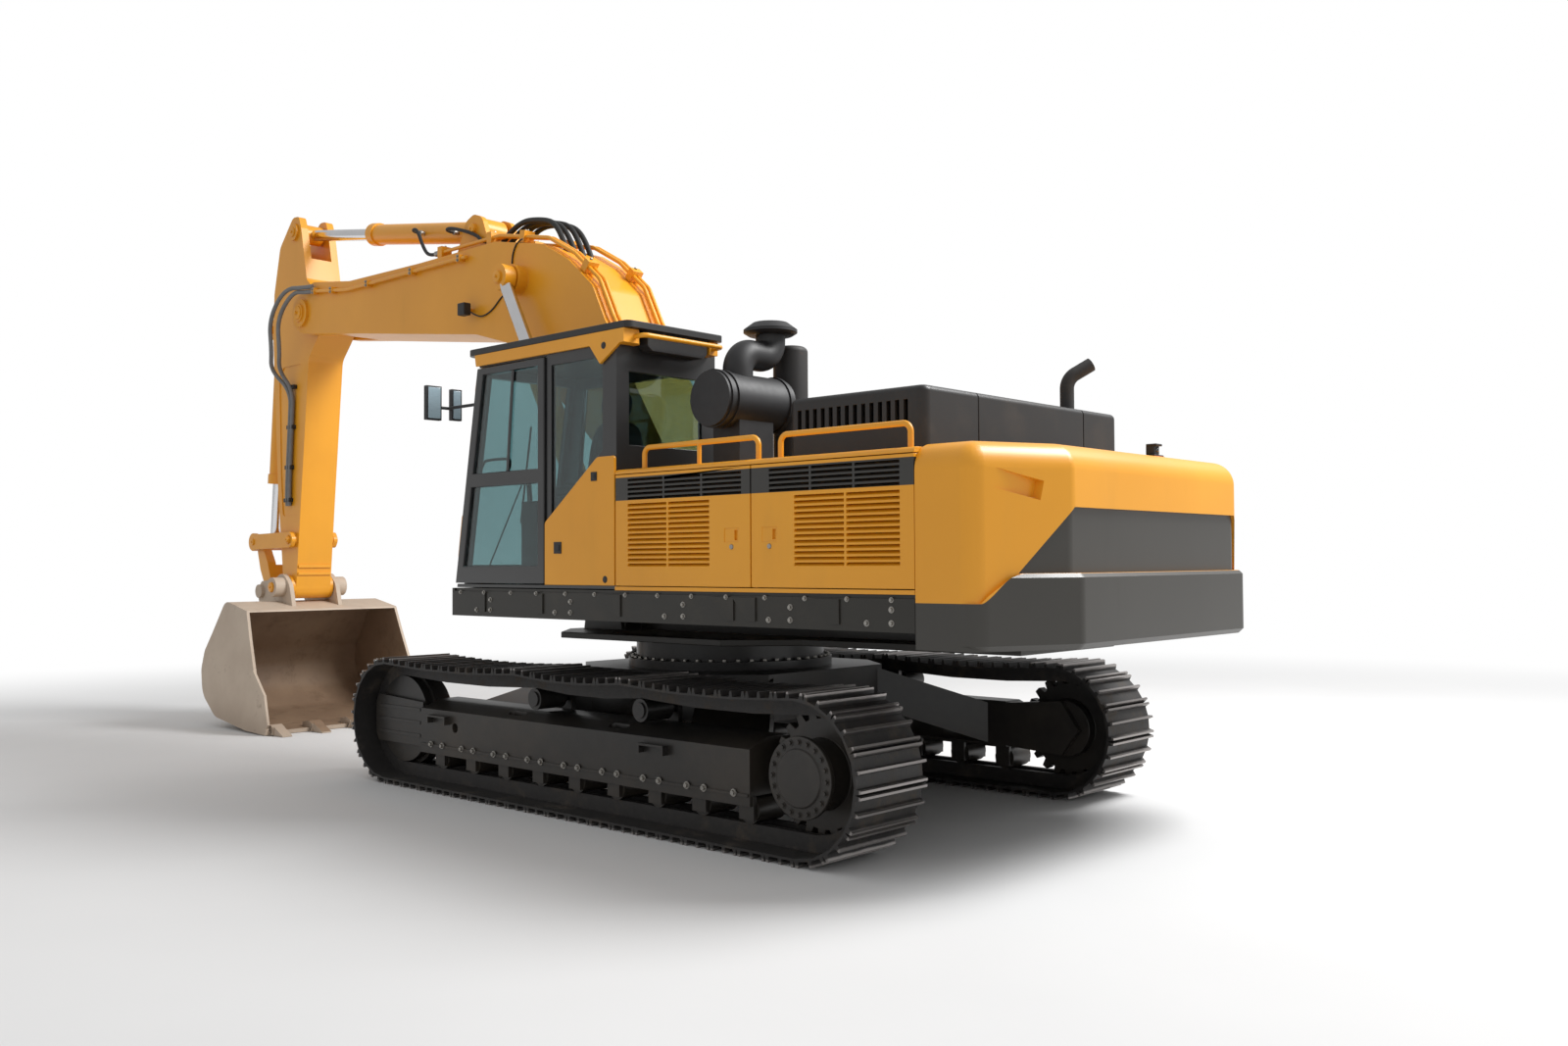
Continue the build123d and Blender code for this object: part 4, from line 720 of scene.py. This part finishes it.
def add_turned(shape, outline, place, axis, steps):
    """A solid turned from an outline of (radius, height), standing on place along axis."""
    turned = bmesh.new()
    points = [turned.verts.new((radius, 0, height)) for radius, height in outline]
    lines = [turned.edges.new(pair) for pair in zip(points, points[1:])]
    bmesh.ops.spin(turned, geom=points + lines, axis=(0, 0, 1), cent=(0, 0, 0), angle=2 * pi, steps=steps,
                   use_merge=True)
    bmesh.ops.remove_doubles(turned, verts=turned.verts, dist=same_spun_point)
    bmesh.ops.recalc_face_normals(turned, faces=turned.faces)
    bmesh.ops.transform(turned, matrix=Matrix.Translation(place) @ turned_to(axis), verts=turned.verts)
    mesh = bpy.data.meshes.new("turned")
    turned.to_mesh(mesh)
    turned.free()
    shape.from_mesh(mesh)
    bpy.data.meshes.remove(mesh)


plug_outline = [(0, 0.006), (0.012, 0.006), (0.020, 0.004), (0.024, 0.000), (0.024, -0.004),
                (0, -0.004)]
for node, x, z in (("cab_panel", -0.409, 1.60), ("roof_valance", -0.397, 3.148)):
    spot = seated(node, at(x, outside, z), (0, -1, 0))
    if spot:
        add_turned(fittings, plug_outline, spot, (0, 1, 0), 24)
finished("cab_latches_and_plugs", fittings, "upper", "black_plastic", black_moulding)


def drawn_tube(name, places, radius, finish, body=None, across=None):
    """A round tube or hose on one smooth line, closed at its ends, on one body, or on none where it runs across
    two.
    """
    curve = bpy.data.curves.new(name + "_line", "CURVE")
    curve.dimensions = "3D"
    curve.bevel_depth = radius
    curve.bevel_resolution = 3
    curve.resolution_u = 8
    curve.use_fill_caps = True
    line = curve.splines.new("NURBS")
    line.points.add(len(places) - 1)
    for point, place in zip(line.points, places):
        point.co = (*place, 1)
    line.order_u = 3
    line.use_endpoint_u = True
    drawn = bpy.data.objects.new(name + "_line", curve)
    shape = bmesh.new()
    shape.from_mesh(bpy.data.meshes.new_from_object(drawn))
    bpy.data.objects.remove(drawn)
    bmesh.ops.remove_doubles(shape, verts=shape.verts, dist=same_spun_point)
    bmesh.ops.recalc_face_normals(shape, faces=shape.faces)
    piece = finished(name, shape, body, "black_plastic", finish, smooth=50)
    if across:
        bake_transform(piece)


drawn_tube("cab_inner_rail",
           [at(1.190, 1.47, 2.330), at(1.170, 1.44, 2.470), at(1.10, 1.43, 2.480), at(0.92, 1.43, 2.480),
            at(0.84, 1.43, 2.470), at(0.83, 1.44, 2.40), at(0.83, 1.50, 2.330)],
           0.011, black_moulding, "upper")


# Boom
# A welded box boom in amber enamel, with steel pipes in clamp blocks along its back and sides. Turned caps
# are bolted over the pins of the arms, and a square work lamp stands on the boom's left side.
dressed("boom", amber, edge=0.006)
dressed("boom_pipes", amber)

beyond_arms = 2.0      # clear of either side of the arms
cap_outline = [(0, 0.014), (0.052, 0.014), (0.064, 0.010), (0.066, -0.004), (0, -0.004)]
boom_rod_eye, boom_barrel_pin = (2.24, 4.17), (0.80, 1.62)
pins = (
    ("boom", (6.11, 4.40), 1.1),
    ("boom", (3.14, 4.81), 0.7),
    ("boom_cylinder_rod_left", boom_rod_eye, 0.8),
    ("boom_cylinder_rod_right", boom_rod_eye, 0.8),
    ("stick", (6.53, 5.37), 0.8),
    ("stick", (6.50, 1.985), 0.5),
    ("stick", (6.58, 1.47), 0.8),
    ("rocker", (7.33, 1.97), 0.6),
    ("bucket_link", (7.06, 1.42), 0.7),
    ("stick", (7.12, 4.37), 0.6),
    ("boom_cylinder_barrel_left", boom_barrel_pin, 0.8),
    ("boom_cylinder_barrel_right", boom_barrel_pin, 0.8),
)
caps_by_body = {}
for node, (x, z), size in pins:
    for side in (-1, 1):
        if node.endswith("left") and side < 0 or node.endswith("right") and side > 0:
            continue
        spot = seated(node, at(x, side * beyond_arms, z), (0, -side, 0))
        if spot:
            shape = caps_by_body.setdefault(body_of_node[node], bmesh.new())
            add_turned(shape, [(r * size, h) for r, h in cap_outline], spot, (0, side, 0), 32)
            add_bolt(shape, spot + Vector((0, side * 0.013, 0)), (0, side, 0), heavy_bolt * size)
for body, shape in caps_by_body.items():
    finished(body + "_pin_caps", shape, body, "yellow_paint", amber)

beside_boom, above_boom = 1.0, 6.0
clamp_bolt, back_clamp_y = 0.018, 0.243
pipe_bolts = bmesh.new()
for side in (-1, 1):
    for x, z in ((3.10, 4.499), (3.90, 4.501), (4.70, 4.504), (5.40, 4.540), (5.77, 4.584)):
        for lift in (-0.018, 0.018):
            bolt_onto(pipe_bolts, "boom_pipes", at(x, side * beside_boom, z + lift), (0, side, 0),
                      clamp_bolt)
    for x in (2.25, 2.74, 3.53, 1.385):
        for shift in (-0.016, 0.016):
            bolt_onto(pipe_bolts, "boom_pipes", at(x + shift, side * back_clamp_y, above_boom),
                      (0, 0, 1), clamp_bolt)
finished("boom_pipe_clamp_bolts", pipe_bolts, "boom", "chrome", bolt_steel)

boom_lens = bmesh.new()
add_block(boom_lens, at(2.986, 0.400, 3.960), at(2.996, 0.450, 4.040), 0.004)
finished("boom_lamp_lens", boom_lens, "boom", "glass", clear_lens)
boom_lamp_case = bmesh.new()
add_block(boom_lamp_case, at(2.884, 0.386, 3.944), at(2.990, 0.464, 4.056), 0.010)
finished("boom_lamp_case", boom_lamp_case, "boom", "black_plastic", black_moulding)


# Cylinders
# Honed tube barrels in amber enamel, with a gland ring screwed in at the mouth. The ground rods are hard
# chromed, and end in forged eyes that are painted as the barrels are.
def hard_chrome():
    finish = Finish("hard_chrome", Metallic=1.0)
    oil = finish.noise(5, 4)
    finish.set(Base_Color=finish.mix(oil, (0.60, 0.60, 0.61, 1), (0.72, 0.72, 0.73, 1)),
               Roughness=oil * 0.10 + 0.09)
    return finish.bump(finish.noise(500, 1), 0.02, 0.0003).material


chrome = hard_chrome()
rod_eyes = {"boom_cylinder_rod_left": boom_rod_eye, "boom_cylinder_rod_right": boom_rod_eye,
            "stick_cylinder_rod": (6.53, 5.37), "bucket_cylinder_rod": (7.33, 1.97)}
painted_eye_reach = 0.17
for name in nodes:
    if name.endswith(("barrel", "barrel_left", "barrel_right")):
        dressed(name, amber)
    elif "cylinder_rod" in name:
        eye_x, eye_z = rod_eyes[name]
        pin = at(eye_x, 0, eye_z)
        dressed(name, chrome, amber,
                inner=lambda face: (face.calc_center_median() - pin).xz.length < painted_eye_reach)


# Stick and bucket linkage
# A welded box stick with sunk side plates, and the cast rocker arms and link that turn the bucket on their
# greased pins, all in amber enamel.
for name in ("stick", "rocker", "bucket_link"):
    dressed(name, amber, edge=0.005)


# Hoses
# Rubber hydraulic hoses in crimped steel ferrules. Short ones join the boom's pipes to the stick cylinder,
# and a pair on the left loops past the stick's pivot and down its side.
def hose_rubber(name, colour):
    finish = Finish(name)
    tone = finish.noise(12, 3)
    finish.set(Base_Color=finish.mix(tone, colour, tuple(c * 1.6 for c in colour[:3]) + (1,)),
               Roughness=tone * 0.15 + 0.5)
    return finish.bump(finish.noise(700, 1), 0.15, 0.0004).material


black_hose = hose_rubber("hose_rubber", (0.012, 0.012, 0.012, 1))
grey_sleeve = hose_rubber("hose_sleeve", (0.15, 0.15, 0.15, 1))
ferrule_outline = [(0, 0), (0.015, 0), (0.022, 0.004), (0.022, 0.030), (0.026, 0.034), (0.026, 0.062),
                   (0.019, 0.070), (0, 0.070)]
barrel_rear_x, barrel_rear_z, barrel_rise = 3.14, 4.81, 0.165      # stick cylinder's rear pin and its slope
pipe_end_z = 4.641
boom_ferrules = bmesh.new()
barrel_ports = bmesh.new()
for side, hand in ((-1, "right"), (1, "left")):
    for pipe_end_x, pipe_y, port_x, lift in ((2.79, 0.215, 3.52, 0.10), (3.58, 0.270, 4.10, 0.08)):
        port_z = barrel_rear_z + (port_x - barrel_rear_x) * barrel_rise - 0.02
        port = seated("stick_cylinder_barrel", at(port_x, side * beside_boom, port_z), (0, -side, 0))
        if port:
            start = at(pipe_end_x, side * pipe_y, pipe_end_z)
            add_turned(boom_ferrules, ferrule_outline, start - Vector((0.01, 0, 0)), (1, 0, 0), 24)
            add_turned(barrel_ports, ferrule_outline, port - Vector((0, side * 0.012, 0)),
                       (0, side, 0), 24)
            beside = port + Vector((0, side * 0.045, 0))
            away = beside + Vector((0, side * 0.10, 0))
            drawn_tube("stick_cylinder_hose_%s_%d" % (hand, round(pipe_end_x * 100)),
                       [start + Vector((0.04, 0, 0)), start + Vector((0.16, 0, 0)),
                        start + Vector((0.26, 0, lift)), away + Vector((-0.10, 0, 0.01)), away, beside],
                       0.017, black_hose,
                       across=("boom", "stick_barrel", start + Vector((0.2, 0, 0)), away))
finished("boom_hose_ferrules", boom_ferrules, "boom", "chrome", bolt_steel)
finished("stick_cylinder_ports", barrel_ports, "stick_barrel", "chrome", bolt_steel)

for number, y in enumerate((-0.13, -0.045, 0.045, 0.13)):
    rear = seated("boom", at(1.82, y, above_boom), (0, 0, -1))
    front = seated("boom", at(2.84, y, above_boom), (0, 0, -1))
    odd_lift = 0.015 * (number % 2)
    drawn_tube("boom_back_hose_%d" % number,
               [rear - Vector((0, 0, 0.02)), rear + Vector((0.04, 0, 0.08)), at(2.00, y, 4.665 + odd_lift),
                at(2.22, y * 0.9, 4.745), at(2.52, y * 0.8, 4.77 + odd_lift),
                front + Vector((-0.06, 0, 0.06)), front - Vector((0, 0, 0.02))],
               0.025, black_hose, "boom")

down_stick_y = 0.222
for number, (out, swing) in enumerate(((0.0, 0.0), (0.05, 0.08))):
    start = at(5.80, 0.364 + out * 0.2, 4.590 + out)
    drawn_tube("stick_hose_%d" % number,
               [start, start + Vector((0.12, 0.01, 0)), at(6.12 + swing, 0.43 + out, 4.62 + swing * 0.5),
                at(6.40 + swing, 0.46 + out, 4.36), at(6.38 + swing, 0.44 + out, 4.02),
                at(6.62 + swing, 0.33 + out, 3.84), at(6.50 + out, down_stick_y, 3.62),
                at(6.52 + out, down_stick_y, 3.30), at(6.56 + out, down_stick_y, 2.80),
                at(6.58 + out, down_stick_y, 2.42), at(6.585 + out, 0.21, 2.36)],
               0.022, grey_sleeve, across=("boom", "stick", at(6.05, 0.4, 4.65), at(6.50, 0.4, 4.25)))
stick_clamps = bmesh.new()
for x, z in ((6.53, 3.66), (6.55, 3.22), (6.585, 2.78), (6.605, 2.42)):
    spot = seated("stick", at(x, beside_boom, z), (0, -1, 0))
    if spot:
        add_block(stick_clamps, spot + Vector((-0.06, -0.006, -0.022)),
                  spot + Vector((0.075, 0.046, 0.022)), 0.005)
finished("stick_hose_clamps", stick_clamps, "stick", "black_plastic", black_moulding)


# Lamp cables
# Two thin rubber leads lie on the boom's left side, one from the work lamp to the boss of the cylinder's
# pin, and one from there up to the boom's back.
lead_radius, lead_y = 0.007, 0.337
drawn_tube("boom_lamp_lead",
           [at(2.90, 0.400, 3.985), at(2.84, 0.348, 3.93), at(2.74, lead_y, 3.93), at(2.62, lead_y, 3.97),
            at(2.50, lead_y, 4.06), at(2.45, 0.325, 4.09)], lead_radius, black_hose, "boom")
drawn_tube("boom_side_lead",
           [at(2.42, 0.325, 4.12), at(2.40, lead_y, 4.18), at(2.34, lead_y, 4.30), at(2.33, lead_y, 4.42),
            at(2.26, lead_y, 4.52), at(2.20, 0.325, 4.53)], lead_radius, black_hose, "boom")


# Bucket
# A welded plate bucket sprayed in beige primer, its bowl brown with the earth it has carried. Cast teeth
# sit on adapters along the lip.
def bucket_primer(name, first, second, wear):
    finish = Finish(name)
    broad = finish.noise(1.6, 5, 0.6)
    rust = finish.noise(5, 6, 0.7).rise(0.60 - wear, 0.78 - wear)
    colour = finish.mix(broad.rise(0.3, 0.7), first, second)
    low = 1 - finish.along("Z").rise(0.05, 0.35)
    earth = (rust * 0.6 + low * 0.25).at_most(0.9)
    finish.set(Base_Color=finish.mix(earth, colour, (0.17, 0.105, 0.062, 1)), Roughness=broad * 0.2 + 0.55)
    return finish.bump(finish.noise(60, 5) + rust, 0.2, 0.002).material


bowl_middle = Vector((4.6, 0, 0.62))
bowl_half_width, bowl_reach, bowl_top = 0.94, 1.35, 1.2


def faces_bowl(face):
    """Whether a face lies inside the bowl and looks towards its middle."""
    spot = face.calc_center_median()
    toward = bowl_middle - spot
    inside = abs(spot.y) < bowl_half_width and toward.length < bowl_reach and spot.z < bowl_top
    return inside and face.normal.dot(toward) > 0


primer = bucket_primer("bucket_primer", (0.50, 0.40, 0.31, 1), (0.58, 0.48, 0.38, 1), 0.0)
earthy = bucket_primer("bucket_bowl", (0.21, 0.135, 0.085, 1), (0.28, 0.19, 0.12, 1), 0.1)
dressed("bucket", primer, earthy, edge=0.005, inner=faces_bowl)


# Floor, background and light
# A pale grey floor under an even white world, lit by one large soft lamp from above the right rear. The
# floor keeps the machine's shadow, and fades to white far off, where the lens or a shiny face sees it.
floor_half = 200
fade_starts, fade_ends = 7.5, 17
floor_mesh = bpy.data.meshes.new("floor")
floor_shape = bmesh.new()
bmesh.ops.create_grid(floor_shape, x_segments=1, y_segments=1, size=floor_half)
floor_shape.to_mesh(floor_mesh)
floor_shape.free()
floor = bpy.data.objects.new("floor", floor_mesh)
scene.collection.objects.link(floor)
floor_finish = Finish("floor", Roughness=0.9)
floor_finish.set(Base_Color=floor_finish.mix(floor_finish.noise(0.4), (0.66, 0.66, 0.66, 1),
                                             (0.74, 0.74, 0.74, 1)))
seen_by_lens = floor_finish.node("ShaderNodeLightPath", {}, {}, "Is Camera Ray")
seen_in_gloss = floor_finish.node("ShaderNodeLightPath", {}, {}, "Is Glossy Ray")
ahead, aside = floor_finish.along("X"), floor_finish.along("Y")
far_off = (ahead * ahead + aside * aside).maths("SQRT").rise(fade_starts, fade_ends)
faded = floor_finish.node("ShaderNodeMixShader", {}, {
    0: far_off * seen_by_lens.at_least(seen_in_gloss),
    1: Field(floor_finish, floor_finish.shader.outputs["BSDF"]),
    2: floor_finish.node("ShaderNodeEmission", {}, {"Color": (1, 1, 1, 1), "Strength": 1.0}),
})
floor_finish.feed(floor_finish.tree.nodes["Material Output"].inputs["Surface"], faded)
floor_mesh.materials.append(floor_finish.material)

white_to_lens, light_on_object = 1.0, 0.6
world = bpy.data.worlds.new("studio")
scene.world = world
world.use_nodes = True
world_nodes = world.node_tree.nodes
world_links = world.node_tree.links
background = world_nodes["Background"]
background.inputs["Color"].default_value = (1, 1, 1, 1)
ray = world_nodes.new("ShaderNodeLightPath")
seen = world_nodes.new("ShaderNodeMath")
seen.operation = "MAXIMUM"
world_links.new(ray.outputs["Is Camera Ray"], seen.inputs[0])
world_links.new(ray.outputs["Is Transmission Ray"], seen.inputs[1])
strength = world_nodes.new("ShaderNodeMapRange")
strength.inputs["To Min"].default_value = light_on_object
strength.inputs["To Max"].default_value = white_to_lens
world_links.new(seen.outputs[0], strength.inputs["Value"])
world_links.new(strength.outputs[0], background.inputs["Strength"])

lamp_data = bpy.data.lights.new("key", "AREA")
lamp_data.size = 6
lamp_data.energy = 2500
lamp = bpy.data.objects.new("key", lamp_data)
lamp.location = (-9, -6, 12)
lamp_aim = Vector((0, 0, 2))
lamp.rotation_euler = (lamp_aim - lamp.location).to_track_quat("-Z", "Y").to_euler()
scene.collection.objects.link(lamp)

scene.view_settings.view_transform = "Standard"
